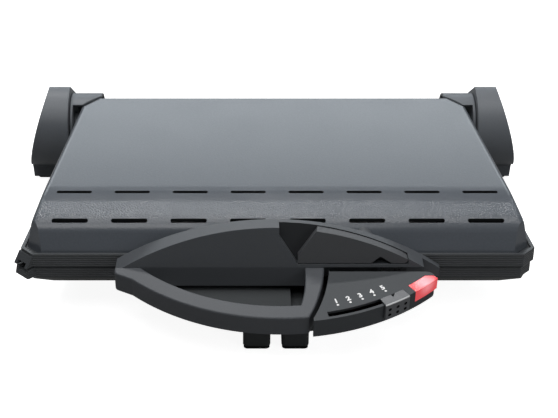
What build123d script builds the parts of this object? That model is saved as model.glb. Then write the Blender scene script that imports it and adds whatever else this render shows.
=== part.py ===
from build123d import *
from math import atan2, cos, degrees, radians, sin, tan
import os

# Electric contact grill with a hinged lid: a base with a lower plate, a lid with an upper plate,
# an eye-shaped handle at the front (grip loop and lock on the lid, control box on the base)
# and two hinge cheeks at the rear.  Millimetres.  While it is modelled, y = 0 is the front edge
# of the grill plates, z = 0 is the table and x = 0 the middle; the last lines move every piece to
# the part's own frame, whose origin is the middle of the footprint.

# ---------------------------------------------------------------- driving dimensions
SPLIT_Z = 52.0            # height of the hinge axis and of the split between base and lid
HINGE_Y = 253.0           # hinge axis behind the front edge of the plates

# grill plates, seen from above: a trapezium with cut corners
PLATE_HALF = 189.2        # half width at y = 0, before the corners are cut
PLATE_DEPTH = 226.0
PLATE_TAPER = 4.9         # degrees, each side turns in towards the rear
FRONT_CUT = 10.5
REAR_CUT_X = 14.0
REAR_CUT_Y = 21.0
PLATE_WALL = 2.5
PLATE_WEB = 3.0
LOWER_INSET = 1.8         # the lower plate is a little smaller all round
UPPER_RIM = 10.3
LOWER_RIM = 8.3
SPLIT_GAP = 1.4           # between the two rims
WEB_DROP = 4.6            # from a rim's edge to the web's cooking face
RIDGE_HEIGHT = 2.2
RIDGE_PITCH = 11.5
RIDGE_ROOT = 5.0
RIDGE_TIP = 2.6
RIDGE_MARGIN = 14.0       # flat border between ridges and rim
SPOUT_WIDTH = 15.0
SPOUT_REACH = 7.0
SPOUT_GROOVE = 9.0
SPOUT_DEPTH = 3.0

# lid shell
LID_HEIGHT = 41.2         # top of the lid's rear edge above the split
LID_FRONT_RISE = 31.6     # height of the front edge's turn above the split
LID_FRONT_LEAN = 10.0     # the front face leans back by this much on the way up
LID_MID_RISE = 37.3       # height above the split at the rear vent row
LID_CUT = 15.0            # its front corners are cut off further than the plates'
LID_TURN_R = 16.0
LID_CROWN_R = 120.0
LID_SIDE_DRAFT = 11.0
LID_EDGE_R = 5.0          # round edge between the crown and the drafted sides
LID_WALL = 2.5
SHELL_GAP = 0.5           # between a shell and the rim that stands round it

# vents in the lid
VENT_COUNT = 8
VENT_PITCH = 43.4
VENT_LENGTH = 26.5
VENT_FRONT_Y = 15.5
VENT_REAR_Y = 48.6
VENT_FRONT_WIDTH = 3.0
VENT_REAR_WIDTH = 3.4

# base shell
BASE_BOTTOM_Z = 12.0
BASE_WALL = 2.5
BASE_FRONT_RUN = 43.0     # how far back the front slope reaches
BASE_LIP = 5.0            # upright edge above the front slope
BASE_SIDE_DRAFT = 20.0
BRIDGE_REAR_Y = 270.0     # rear housing between the cheeks
BRIDGE_TOP_Z = 39.5
BASE_VENT_COUNT = 7
BASE_VENT_PITCH = 30.0
BASE_VENT_LENGTH = 40.0
BASE_VENT_WIDTH = 4.0
LEDGE_SCREW_X = (-85.0, -30.0, 80.0)
LEDGE_SCREW_Y = 12.0
LEDGE_SCREW = 9.0

# hinges
CHEEK_R = 36.0
CHEEK_IN_X = 178.2
CHEEK_TOP_X = 196.5
CHEEK_MID_X = 206.8
CHEEK_LOW_X = 216.2
CHEEK_FALL = 31.0         # degrees, its top falls straight towards the rear
CHEEK_FOOT = 28.0
CHEEK_FOOT_Y = 249.0      # front of the foot
CHEEK_FOOT_TOP = 12.0
HOOD_R = 27.6
HOOD_WALL = 2.2
HOOD_IN_X = 151.0
HOOD_CUT_X = 167.2        # its inner front corner is cut off from here ...
HOOD_CUT_Y = 13.2         # ... this far in front of the axis, level with its front edge
HOOD_REAR = 25.0          # degrees below the level, where it ends at the rear
ARM_THICK = 6.0
ARM_HUB_R = 13.0
ARM_X = 156.0             # middle of the arm
ARM_TALL = 11.0
PIN_R = 4.0
PIN_FIT = 0.06
PIN_DEPTH = 10.0          # into the cheek
CHEEK_SCREW_Y = (242.5, 263.5)
CHEEK_SCREW_Z = 17.9
CHEEK_SCREW = 11.0        # how deep they reach
CRADLE_GAP = 2.0          # round the hood, in the rear housing
MOVE_GAP = 0.6            # between pieces that move past each other

# handle deck: the sloping plane that holds the loop's and the control box's top faces
DECK_Y = -20.0
DECK_Z = 63.5
DECK_SLOPE = 11.0         # degrees, falls towards the front
EYE_X = 0.5
ARC_BACK = 104.8          # centre of the eye's front arcs, behind the deck's edge
LOOP_OUT_R = 156.7
LOOP_IN_R = 143.8
LOOP_TALL = 15.6
LOOP_WALL = 2.4
LOOP_CORNER_R = 3.0
LOOP_EDGE_R = 1.2
NOSE_X = -117.4           # blunt nose where the loop meets the crest
NOSE_RUN = 13.0
NOSE_R = 4.0
TIP_X = 117.0             # the eye's points, either side
BAR_LEFT_X = 18.6         # crossbar at the crest
BAR_LEFT_FRONT_X = 10.6
BAR_RIGHT_X = 32.5
BAR_RIGHT_FRONT_X = 19.6
BAR_BOW = 2.6
BOX_GAP = 3.4             # between crossbar and control box

# crest: the upright leaf of the handle
CREST_REAR_Y = -1.0
CREST_TOP_Z = 92.8
CREST_X = -3.4            # its highest point
CREST_ARC_R = 214.0
CREST_WALL = 6.0          # its foot behind the control box
CREST_LEAN = 6.0
CREST_LOW_Z = 48.6
CREST_LIP_Z = 63.9        # underside over the control box
POCKET_DEPTH = 8.5
POCKET_LEFT_X = 0.3
BOSS_R = 7.0
BOSS_X = 62.0
BOSS_Z = 72.0
CREST_SCREW_Y = 12.0      # its screws' heads, inside the lid
GRIP_SCREW_X = (-100.0, 26.0)
GRIP_SCREW_Z = 57.0
GRIP_BOSS = 12.0
GRIP_SEAT_Y = -8.0        # their heads, sunk in the crest's foot

# lock lever in the crest's pocket
LEVER_THICK = 7.8
LEVER_PIVOT_X = 89.3
LEVER_PIVOT_Z = 69.6
LEVER_END_R = 2.7
LEVER_LEFT_X = 13.7
LEVER_NICK = 5.8          # height of its blunt left edge
LEVER_TIP_X = 28.6
LEVER_GAP = 0.5
LEVER_BORE = 1.25
LEVER_SKIN = 2.4          # left in front of its blind pivot hole
SCREW_SEAT = 13.0         # depth of the pivot screw's head behind the crest's face
NOTCH_X = 66.1
NOTCH_RISE = 5.0
NOTCH_RUN = 6.3
NOTCH_SPAN = 14.5
TOE_X = 83.5              # tip of the toe that the catch holds
TOE_LOW_Z = 55.2
TOE_TALL = 2.8
TOE_THICK = 3.2
CATCH_X = 76.1
CATCH_REACH = 6.2
CATCH_THICK = 1.6
CATCH_ROOT = 3.0          # above the ledge's shelf
CATCH_GAP = 0.7           # under the crest

# control box
BOX_R = 161.0
BOX_TALL = 15.0
BOX_WALL = 2.2
BOX_DECK = 2.0
BOX_BACK = -3.9           # rear edge of its deck, in the deck's own plane
BOX_TIP_R = 6.0
BOX_SCREW_X = (42.0, 57.0, 72.0)
BOX_SCREW_Z = 55.0
BOX_SCREW = 11.0          # length from the rib's rear face
RIB_X = 78.0              # the ledge's rib behind the box ends here
RIB_TOP_Z = 60.0
RIB_THICK = 4.0
SLOT_IN_R = 153.9
SLOT_OUT_R = 158.7
SCALE_FIRST = 16.0        # angles of the marks 1 and 5 on the arc, degrees
SCALE_LAST = 30.1
KNOB_HALF = 3.55          # half width of the knob, degrees
KNOB_IN_R = 154.9
KNOB_SHELL = 1.9          # thickness of its skirt
KNOB_TOP = 1.5            # above the deck
KNOB_SKIRT = 12.0         # down over the front wall
KNOB_END_GAP = 0.45       # degrees, slot past the knob at either end
DIMPLE_R = 1.1
DIMPLE_DEPTH = 0.7
DIMPLE_PITCH_DEG = 2.0
DIMPLE_ROW = 4.2
LENS_FIRST = 36.2
LENS_LAST = 44.0
LENS_IN_R = 153.0
LENS_SKIRT = 9.5
LENS_THICK = 1.8
LENS_FIT = 0.15

# thermostat and its arm
STAT_R = 15.0
STAT_TALL = 9.0
SPINDLE_R = 3.0
HUB_R = 7.0
CONTROL_THICK = 1.5
CONTROL_WIDTH = 8.0
CONTROL_DECK = 9.0        # depth under the deck where the arm meets the knob's stem
CONTROL_LOW = 39.0        # its height where it passes under the plate's rim
CONTROL_BASE = 27.0       # and behind the front slope
CONTROL_BOX_GAP = 0.65    # between the arm and the control box's underside
CONTROL_ROOM = 1.5        # clear space round it
CONTROL_KNEE_R = 62.0     # its bends, out from the spindle
CONTROL_IN_R = 88.0
CONTROL_OUT_R = 104.0
CONTROL_RISE_R = 124.0
STAT_DEPTH = -54.0        # the arm's hub under the deck

# ledge and feet
LEDGE_TOP_Z = 44.5
BOX_REST_Z = 48.0         # the part that the control box stands on, before its deck cuts it
LEDGE_BOTTOM_Z = 24.0
LEDGE_SHELF_Z = 37.0
LEDGE_FRONT_Y = -44.0
LEDGE_R = 114.0
LEDGE_X = 111.0
LEDGE_BACK = 12.0         # how far it reaches in under the base shell's slope
LEDGE_IN = 5.0            # its raised part stays behind the loop's inner arc
BOX_REST_IN = 13.0        # and the part that the box stands on
BAR_CLEAR = 2.0
FOOT_FRONT_Y = -28.7
FOOT_DEPTH = 24.0
FOOT_WIDTH = 20.0
FOOT_PITCH = 28.0
FOOT_MID_X = -1.5
FOOT_R = 3.0
PAD_TALL = 2.0

# heaters, reflectors, small parts
HEATER_R = 3.2
HEATER_X = 125.0
HEATER_FRONT_Y = 46.0
HEATER_REAR_Y = 200.0
HEATER_BEND = 22.0
SHEET = 0.8
POST_R = 3.5
SCREW_R = 1.8
SCREW_HEAD_R = 3.2
SCREW_HEAD = 2.0
GLAND_R = 6.0
GLAND_FLANGE_R = 9.0
GLAND_FLANGE = 2.5
GLAND_BORE = 3.6
GLAND_X = 60.0
GLAND_Z = 26.0
CLIP_X = 90.0
CLIP_WIDE = 16.0
CLIP_DEEP = 5.0
CLIP_TALL = 9.0
CLIP_Y = (24.0, 207.0)
TERMINAL_WIDE = 36.0
TERMINAL_DEEP = 12.0
TERMINAL_Y = 251.0
POLE_PITCH = 11.0
POLE_FLOOR = 5.0          # under its screw holes
CUTOUT_R = 8.0
CUTOUT_TALL = 6.0
SEAT = 0.3                # rest gap between pieces on different bodies

# ---------------------------------------------------------------- worked-out places
SLOPE = radians(DECK_SLOPE)
UPPER_Z = SPLIT_Z + SPLIT_GAP / 2            # upper plate's lower edge
LOWER_Z = SPLIT_Z - SPLIT_GAP / 2            # lower plate's upper edge
UPPER_WEB_Z = UPPER_Z + WEB_DROP + PLATE_WEB
LOWER_WEB_Z = LOWER_Z - WEB_DROP - PLATE_WEB
SHELL_INSET = PLATE_WALL + SHELL_GAP
REAR_REACH = HINGE_Y + CHEEK_R
RIB_REAR_Y = DECK_Y + (BOX_BACK + RIB_THICK) * cos(SLOPE) + BOX_TALL / 2 * sin(SLOPE)


# ---------------------------------------------------------------- shared forms
def block(x0, x1, y0, y1, z0, z1):
    """A box between two corners."""
    return Pos((x0 + x1) / 2, (y0 + y1) / 2, (z0 + z1) / 2) * Box(abs(x1 - x0), abs(y1 - y0), abs(z1 - z0))


def rod(radius, start, axis, length):
    """A round bar from a start point along an axis."""
    return extrude(Plane(origin=start, z_dir=axis) * Circle(radius), length)


def plate_plan(inset=0.0, cut=FRONT_CUT):
    """The plates' outline from above: a trapezium with cut corners, drawn in by an inset."""
    slope = tan(radians(PLATE_TAPER))
    right = [
        (PLATE_HALF - cut, 0),
        (PLATE_HALF - cut * slope, cut),
        (PLATE_HALF - (PLATE_DEPTH - REAR_CUT_Y) * slope, PLATE_DEPTH - REAR_CUT_Y),
        (PLATE_HALF - PLATE_DEPTH * slope - REAR_CUT_X, PLATE_DEPTH),
    ]
    left = [(-x, y) for x, y in reversed(right)]
    outline = make_face(Polyline(*right, *left, close=True))
    if inset == 0:
        return outline
    return offset(outline, -inset, kind=Kind.INTERSECTION)


def plan_prism(inset, z0, z1):
    """The plates' outline as a prism between two heights."""
    return extrude(Pos(0, 0, z0) * plate_plan(inset), z1 - z0)


def deck_plane():
    """The sloping plane of the handle's top faces, x across and y up the slope."""
    return Plane(origin=(EYE_X, DECK_Y, DECK_Z), x_dir=(1, 0, 0), z_dir=(0, -sin(SLOPE), cos(SLOPE)))


def deck_prism(face, top, bottom):
    """A face drawn on the deck as a prism square to it, between two heights over the deck."""
    return deck_plane() * extrude(Pos(0, 0, bottom) * face, top - bottom)


def arc_point(radius, angle):
    """A point on an arc round the eye's arc centre; degrees from straight ahead."""
    return (radius * sin(radians(angle)), ARC_BACK - radius * cos(radians(angle)))


def sector(r0, r1, a0, a1):
    """Part of a ring round the eye's arc centre."""
    middle = (a0 + a1) / 2
    outer = ThreePointArc(arc_point(r1, a0), arc_point(r1, middle), arc_point(r1, a1))
    inner = ThreePointArc(arc_point(r0, a0), arc_point(r0, middle), arc_point(r0, a1))
    first = Line(arc_point(r0, a0), arc_point(r1, a0))
    last = Line(arc_point(r0, a1), arc_point(r1, a1))
    return make_face([outer, inner, first, last])


def arc_disc(radius):
    """The full disc inside an arc of the eye."""
    return Pos(0, ARC_BACK) * Circle(radius)


def beside_bar(root_x, front_x, shift, far, back):
    """The deck's area between a bowed side of the crossbar and a far limit."""
    front = ARC_BACK - BOX_R - 5
    root = (root_x - EYE_X + shift, 0)
    nose = (front_x - EYE_X + shift, ARC_BACK - LOOP_OUT_R)
    bow = ((root[0] + nose[0]) / 2 + BAR_BOW, nose[1] / 2)
    side = ThreePointArc(root, bow, nose)
    rest = Polyline(nose, (nose[0], front), (far, front), (far, back), (root[0], back), root)
    return make_face([side, rest])


def profile_solid(points, radii, inset):
    """A side profile, drawn in by an inset, across the full width of the plates."""
    outline = make_face(FilletPolyline(*points, radius=radii, close=True))
    if inset > 0:
        outline = offset(outline, -inset, kind=Kind.INTERSECTION)
    return extrude(Plane.YZ * outline, PLATE_HALF, both=True)


def lid_outer(inset=0.0):
    """The lid's outer form: a side profile cut to the plates' outline with drafted sides."""
    front = SHELL_INSET
    rear = PLATE_DEPTH - SHELL_INSET
    low = UPPER_WEB_Z - LID_WALL
    points = [
        (front, low),
        (front + 1.5, UPPER_Z + UPPER_RIM + 1),
        (front + LID_FRONT_LEAN, SPLIT_Z + LID_FRONT_RISE),
        (VENT_REAR_Y, SPLIT_Z + LID_MID_RISE),
        (rear - 4, SPLIT_Z + LID_HEIGHT),
        (rear, low),
    ]
    form = profile_solid(points, [0.3, 2.0, LID_TURN_R, LID_CROWN_R, 5.0, 0.3], inset)
    plan = plate_plan(SHELL_INSET + inset, LID_CUT)
    form &= extrude(Pos(0, 0, low) * plan, LID_HEIGHT, taper=LID_SIDE_DRAFT)
    crown_z = SPLIT_Z + LID_FRONT_RISE - LID_WALL - inset
    top_edges = form.edges().filter_by(lambda edge: edge.bounding_box().min.Z > crown_z)
    side_edges = top_edges.filter_by(lambda edge: abs(edge.center().X) > 0.7 * PLATE_HALF)
    form = form.fillet(LID_EDGE_R - inset, side_edges)
    return form & block(-PLATE_HALF, PLATE_HALF, 0, PLATE_DEPTH, UPPER_WEB_Z - inset, 2 * CREST_TOP_Z)


def crest_form(gap=0.0):
    """The crest's block: a bow over a straight foot, upright at the tips."""
    bow = Pos(CREST_X, CREST_TOP_Z - CREST_ARC_R) * Circle(CREST_ARC_R - gap)
    leaf = bow & Pos(0, CREST_LOW_Z + CREST_ARC_R / 2) * Rectangle(2 * TIP_X, CREST_ARC_R)
    return Pos(0, CREST_REAR_Y, 0) * extrude(Plane.XZ * leaf, CREST_REAR_Y - DECK_Y)


def crest_plane():
    """The crest's front face, which leans back; x across and y up the face."""
    lean = atan2(CREST_LEAN, CREST_TOP_Z - CREST_LIP_Z)
    return Plane(origin=(0, DECK_Y, CREST_LIP_Z), x_dir=(1, 0, 0), z_dir=(0, -cos(lean), sin(lean)))


def up_crest(z):
    """Distance up the crest's leaning face to a height."""
    return (z - CREST_LIP_Z) / crest_plane().y_dir.Z


# ---------------------------------------------------------------- lid
def make_lid_shell():
    """Moulded cover with two rows of vents."""
    shell = lid_outer() - lid_outer(LID_WALL)
    for row_y, width in ((VENT_FRONT_Y, VENT_FRONT_WIDTH), (VENT_REAR_Y, VENT_REAR_WIDTH)):
        for i in range(VENT_COUNT):
            x = (i - (VENT_COUNT - 1) / 2) * VENT_PITCH
            vent = Pos(x, row_y, UPPER_WEB_Z + PLATE_WEB) * SlotOverall(VENT_LENGTH, width)
            shell -= extrude(vent, LID_HEIGHT)
    for x, z in ((EYE_X - BOSS_X, BOSS_Z), (EYE_X + BOSS_X, BOSS_Z)):
        shell += rod(SCREW_HEAD_R + 1, (x, 0, z), (0, 1, 0), CREST_SCREW_Y) & lid_outer()
        shell -= rod(SCREW_R, (x, 0, z), (0, 1, 0), CREST_SCREW_Y + 1)
    return shell


def comb(z_face, height):
    """Section across the ridges of a plate, which stand on z_face by a signed height."""
    sign = 1 if height > 0 else -1
    count = int(PLATE_HALF / RIDGE_PITCH)
    points = [(-PLATE_HALF - RIDGE_PITCH, z_face)]
    for i in range(-count, count + 1):
        x = i * RIDGE_PITCH
        points += [(x - RIDGE_ROOT / 2, z_face), (x - RIDGE_TIP / 2, z_face + height)]
        points += [(x + RIDGE_TIP / 2, z_face + height), (x + RIDGE_ROOT / 2, z_face)]
    points += [(PLATE_HALF + RIDGE_PITCH, z_face), (PLATE_HALF + RIDGE_PITCH, z_face - sign * PLATE_WEB)]
    points += [(-PLATE_HALF - RIDGE_PITCH, z_face - sign * PLATE_WEB)]
    return make_face(Polyline(*points, close=True))


def make_plate(inset, z_face, height, z0, z1):
    """A cast plate: a rim round a web with ridges on its cooking face."""
    sign = 1 if height > 0 else -1
    z_back = z_face - sign * PLATE_WEB
    rim = plan_prism(inset, z0, z1) - plan_prism(inset + PLATE_WALL, z0 - 1, z1 + 1)
    web = plan_prism(inset + PLATE_WALL / 2, min(z_face, z_back), max(z_face, z_back))
    ridges = Pos(0, PLATE_DEPTH, 0) * extrude(Plane.XZ * comb(z_face, height), PLATE_DEPTH)
    ridges &= plan_prism(inset + RIDGE_MARGIN, SPLIT_Z - UPPER_RIM, SPLIT_Z + UPPER_RIM)
    return rim + web + ridges


def spout(inset, z_top, z_low, reach_top, reach_low, groove_top, groove_low):
    """Lip that leads grease out over the front left corner, and the channel along it."""
    x = -(PLATE_HALF - FRONT_CUT / 2 - inset)
    y = FRONT_CUT / 2 + inset
    out = Plane(origin=(x, y, 0), x_dir=(-1, -1, 0), z_dir=(-1, 1, 0))
    side = make_face(Polyline(
        (-PLATE_WALL, z_low), (reach_low, z_low), (reach_top, z_top), (-PLATE_WALL, z_top), close=True))
    lip = extrude(out * side, SPOUT_WIDTH / 2, both=True)
    channel = Pos(0, (groove_top + groove_low) / 2) * Rectangle(6 * SPOUT_REACH, groove_top - groove_low)
    return lip, extrude(out * channel, SPOUT_GROOVE / 2, both=True)


def make_upper_plate():
    plate = make_plate(0, UPPER_Z + WEB_DROP, -RIDGE_HEIGHT, UPPER_Z, UPPER_Z + UPPER_RIM)
    lip, channel = spout(0, UPPER_Z + UPPER_RIM - 2, UPPER_Z, 0.5, SPOUT_REACH - 1,
                         UPPER_Z + SPOUT_DEPTH, UPPER_Z - 1)
    return plate + lip - channel


def make_lower_plate():
    plate = make_plate(LOWER_INSET, LOWER_Z - WEB_DROP, RIDGE_HEIGHT, LOWER_Z - LOWER_RIM, LOWER_Z)
    lip, channel = spout(LOWER_INSET, LOWER_Z, LOWER_Z - LOWER_RIM + 1, SPOUT_REACH - 1, SPOUT_REACH + 1,
                         LOWER_Z + 1, LOWER_Z - SPOUT_DEPTH)
    return plate + lip - channel


def make_heater(z):
    """Tubular element that runs round behind the plate, with a stud at each end."""
    path = FilletPolyline(
        (-HEATER_BEND, HEATER_REAR_Y, z), (-HEATER_X, HEATER_REAR_Y, z),
        (-HEATER_X, HEATER_FRONT_Y, z), (HEATER_X, HEATER_FRONT_Y, z),
        (HEATER_X, HEATER_REAR_Y, z), (HEATER_BEND, HEATER_REAR_Y, z),
        radius=HEATER_BEND)
    heater = sweep(Plane(origin=path @ 0, z_dir=path % 0) * Circle(HEATER_R), path=path)
    for side in (-1, 1):
        heater += rod(HEATER_R / 2, (side * HEATER_BEND, HEATER_REAR_Y, z), (-side, 0, 0), HEATER_BEND / 3)
    return heater


def make_reflector(z_sheet, z_foot):
    """Aluminium sheet behind a heater, on four posts."""
    x = HEATER_X - 2 * HEATER_BEND
    y0 = HEATER_FRONT_Y + 2 * HEATER_BEND
    y1 = HEATER_REAR_Y - HEATER_BEND
    border = 3 * POST_R
    sheet = block(-x - border, x + border, y0 - border, y1 + border, z_sheet, z_sheet + SHEET)
    post = abs(z_foot - z_sheet) + SHEET / 2
    for px in (-x, x):
        for py in (y0, y1):
            sheet += rod(POST_R, (px, py, min(z_sheet, z_foot)), (0, 0, 1), post)
    return sheet


def make_crest():
    """Upright leaf that carries the lever; its lower edge is cut away over the control box."""
    body = crest_form()
    body -= block(BAR_RIGHT_X, 2 * TIP_X, 2 * DECK_Y, CREST_REAR_Y - CREST_WALL, 0, CREST_LIP_Z)
    face = crest_plane()
    body -= face * Pos(0, CREST_TOP_Z, CREST_TOP_Z / 2) * Box(4 * TIP_X, 2 * CREST_TOP_Z, CREST_TOP_Z)
    body -= pocket()
    for side in (-1, 1):
        start = (EYE_X + side * BOSS_X, CREST_REAR_Y, BOSS_Z)
        body += rod(BOSS_R, start, (0, 1, 0), LID_FRONT_LEAN + SHELL_INSET) - lid_outer()
        body -= rod(SCREW_R, (start[0], CREST_REAR_Y - 6, BOSS_Z), (0, 1, 0), 4 * BOSS_R)
    for x in GRIP_SCREW_X:
        body -= rod(SCREW_R, (x, 2 * DECK_Y, GRIP_SCREW_Z), (0, 1, 0), -3 * DECK_Y)
        body -= rod(SCREW_HEAD_R + LENS_FIT, (x, GRIP_SEAT_Y, GRIP_SCREW_Z), (0, 1, 0), BOSS_X)
    body -= toe(MOVE_GAP * 1.5) + lever_axis(LEVER_BORE, LEVER_SKIN, SCREW_SEAT)
    return body - lever_axis(SCREW_HEAD_R + MOVE_GAP / 2, SCREW_SEAT, 2 * SCREW_SEAT)


def lever_axis(radius, shallow, deep):
    """A round bar on the lever's pivot axis, between two depths behind the crest's face."""
    start = Pos(LEVER_PIVOT_X, up_crest(LEVER_PIVOT_Z), -shallow)
    return crest_plane() * start * extrude(Circle(radius), shallow - deep)


def pocket():
    """The lever's pocket in the crest, open at the top, with a finger space at its left."""
    low = up_crest(LEVER_PIVOT_Z - LEVER_END_R - LEVER_GAP)
    high = up_crest(2 * CREST_TOP_Z)
    right = LEVER_PIVOT_X + LEVER_END_R + LEVER_GAP
    elbow = low + up_crest(CREST_TOP_Z) * 0.67
    room = make_face(Polyline(
        (POCKET_LEFT_X, high), (POCKET_LEFT_X, elbow), (LEVER_LEFT_X - LEVER_GAP, low),
        (right, low), (right, high), close=True))
    return crest_plane() * extrude(room, -POCKET_DEPTH)


def toe(grow=0.0):
    """The toe on the lever's back, from the plate down to the catch, or the room that it needs."""
    z0 = TOE_LOW_Z - grow
    right = LEVER_PIVOT_X + LEVER_END_R
    y_back = DECK_Y + POCKET_DEPTH
    shank = block(right - 4.5 - grow, right + grow, y_back - TOE_THICK - grow, y_back + grow,
                  z0, LEVER_PIVOT_Z - (LEVER_END_R if grow > 0 else 0))
    tip = block(TOE_X - grow, right - grow, y_back - TOE_THICK - grow, y_back + grow, z0, z0 + TOE_TALL)
    if grow > 0:
        swing = block(TOE_X - 2 * TOE_TALL, right, y_back - TOE_THICK - grow, y_back + grow, z0,
                      LEVER_PIVOT_Z - LEVER_END_R)
        return shank + tip + swing
    return shank + tip


def make_lock_lever():
    """Flat lever that turns up about its right end; a toe on its back reaches down to the catch."""
    low = up_crest(LEVER_PIVOT_Z - LEVER_END_R)
    high = up_crest(2 * CREST_TOP_Z)
    outline = make_face(Polyline(
        (LEVER_TIP_X, high), (LEVER_TIP_X, up_crest(CREST_TOP_Z)), (LEVER_LEFT_X, low + LEVER_NICK),
        (LEVER_LEFT_X, low), (NOTCH_X, low), (NOTCH_X + NOTCH_RUN, low + NOTCH_RISE),
        (NOTCH_X + NOTCH_SPAN, low), (LEVER_PIVOT_X, low), (LEVER_PIVOT_X, high), close=True))
    outline += Pos(LEVER_PIVOT_X, up_crest(LEVER_PIVOT_Z)) * Circle(LEVER_END_R)
    plate = crest_plane() * extrude(outline, -LEVER_THICK)
    plate &= crest_form(LEVER_GAP)
    return plate + toe() - lever_axis(LEVER_BORE, LEVER_SKIN, SCREW_SEAT)


def make_lever_screw():
    """Shoulder screw that is the lever's pivot, its head sunk in the crest's rear."""
    shank = lever_axis(LEVER_BORE - PIN_FIT, LEVER_SKIN + PIN_FIT, SCREW_SEAT)
    return shank + lever_axis(SCREW_HEAD_R, SCREW_SEAT, SCREW_SEAT + SCREW_HEAD)


def loop_face():
    """The grip loop and its crossbar, drawn on the deck."""
    back = 6.0
    whole = arc_disc(LOOP_OUT_R) & beside_bar(BAR_RIGHT_X, BAR_RIGHT_FRONT_X, 0, -TIP_X - EYE_X, back)
    whole += nose_face(back)
    opening = arc_disc(LOOP_IN_R) & beside_bar(BAR_LEFT_X, BAR_LEFT_FRONT_X, 0, -2 * TIP_X, back + 1)
    corner = opening.vertices().sort_by(Axis.Y)[0:2].sort_by(Axis.X)[-1]
    return whole - fillet(corner, LOOP_CORNER_R)


def nose_face(back):
    """The blunt left end of the loop, from the crest's tip forward to the arc."""
    end = NOSE_X + NOSE_RUN
    arc_y = ARC_BACK - (LOOP_OUT_R ** 2 - end ** 2) ** 0.5
    side_y = arc_y + NOSE_RUN / 2
    outline = make_face(Polyline((NOSE_X, back), (NOSE_X, side_y), (end, arc_y), (end, back), close=True))
    corner = outline.vertices().sort_by(Axis.X)[0:2].sort_by(Axis.Y)[0]
    return fillet(corner, NOSE_R)


def front_of_crest():
    """Everything in front of the crest's upright foot."""
    return block(-2 * TIP_X, 2 * TIP_X, 6 * DECK_Y, DECK_Y, 0, CREST_TOP_Z)


def make_grip_loop():
    """Moulded grip, hollow below, that butts against the crest's foot."""
    loop = deck_prism(loop_face(), 0, -LOOP_TALL)
    deck = deck_plane()
    arcs = loop.edges().filter_by(GeomType.CIRCLE)
    rims = arcs.filter_by(lambda edge: abs(deck.to_local_coords(edge @ 0.5).Z) < 0.01)
    loop = fillet(rims, LOOP_EDGE_R)
    room = deck_prism(offset(loop_face(), -LOOP_WALL), -LOOP_WALL, -LOOP_TALL - 1)
    for x in GRIP_SCREW_X:
        room -= rod(BOSS_R, (x, DECK_Y - GRIP_BOSS, GRIP_SCREW_Z), (0, 1, 0), 2 * GRIP_BOSS)
    loop = (loop - room) & front_of_crest()
    for x in GRIP_SCREW_X:
        loop -= rod(SCREW_R, (x, DECK_Y - GRIP_BOSS + 2, GRIP_SCREW_Z), (0, 1, 0), GRIP_BOSS)
    return loop


def make_grip_cover():
    """Plate that closes the loop from below, inside its walls."""
    cover = deck_prism(offset(loop_face(), -LOOP_WALL - LENS_FIT), -LOOP_TALL + LOOP_WALL, -LOOP_TALL)
    for x in GRIP_SCREW_X:
        cover -= rod(BOSS_R + LENS_FIT, (x, DECK_Y - GRIP_BOSS, GRIP_SCREW_Z), (0, 1, 0), 2 * GRIP_BOSS)
    return cover & front_of_crest()


# ---------------------------------------------------------------- hinges
def make_hinge_arm(side):
    """Steel arm from the lid's rear corner to its hub on the hinge pin."""
    x0 = ARM_X - ARM_THICK / 2
    hub = rod(ARM_HUB_R, (x0, HINGE_Y, SPLIT_Z), (1, 0, 0), ARM_THICK)
    reach = HINGE_Y - PLATE_DEPTH + 2 * REAR_CUT_Y
    bar_low = UPPER_Z + ARM_TALL
    arm = hub + block(x0, x0 + ARM_THICK, HINGE_Y - reach, HINGE_Y, bar_low, bar_low + ARM_TALL)
    arm += block(x0, x0 + ARM_THICK, HINGE_Y - ARM_HUB_R, HINGE_Y, SPLIT_Z, bar_low + ARM_TALL)
    arm -= lid_outer()
    arm = arm.solids().sort_by(Axis.Y)[-1]
    arm -= rod(PIN_R + PIN_FIT, (x0 - 1, HINGE_Y, SPLIT_Z), (1, 0, 0), ARM_THICK + 2)
    return arm if side > 0 else mirror(arm, Plane.YZ)


def make_hinge_hood(side):
    """Curved cover over the hinge that turns with the lid; its inner front corner is cut off."""
    length = CHEEK_IN_X - MOVE_GAP - HOOD_IN_X
    start = (HOOD_IN_X, HINGE_Y, SPLIT_Z)
    tube = rod(HOOD_R, start, (1, 0, 0), length)
    tube -= rod(HOOD_R - HOOD_WALL, start, (1, 0, 0), length - HOOD_WALL)
    front_z = SPLIT_Z + (HOOD_R ** 2 - HOOD_CUT_Y ** 2) ** 0.5
    open_front = make_face(Polyline(
        (HINGE_Y, SPLIT_Z), (HINGE_Y - 2 * HOOD_CUT_Y, SPLIT_Z + 2 * (front_z - SPLIT_Z)),
        (HINGE_Y - 2 * HOOD_R, SPLIT_Z), (HINGE_Y - 2 * HOOD_R, SPLIT_Z - 2 * HOOD_R),
        (HINGE_Y + 2 * HOOD_R, SPLIT_Z - 2 * HOOD_R * tan(radians(HOOD_REAR))), close=True))
    away = Pos(HOOD_IN_X - 1, 0, 0) * extrude(Plane.YZ * open_front, length + 1 - HOOD_WALL)
    corner = make_face(Polyline(
        (HOOD_CUT_X, HINGE_Y - HOOD_CUT_Y), (HOOD_IN_X, HINGE_Y - 1), (HOOD_IN_X - 5, HINGE_Y - 1),
        (HOOD_IN_X - 5, HINGE_Y - 2 * HOOD_R), (HOOD_CUT_X, HINGE_Y - 2 * HOOD_R), close=True))
    hood = tube - away - extrude(corner, 2 * CREST_TOP_Z)
    hub = rod(ARM_HUB_R - 2, (ARM_X + ARM_THICK / 2, HINGE_Y, SPLIT_Z), (1, 0, 0),
              CHEEK_IN_X - MOVE_GAP - ARM_X - ARM_THICK / 2)
    hood += hub
    hood -= rod(PIN_R + 4 * PIN_FIT, start, (1, 0, 0), length + 1)
    return hood if side > 0 else mirror(hood, Plane.YZ)


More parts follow.
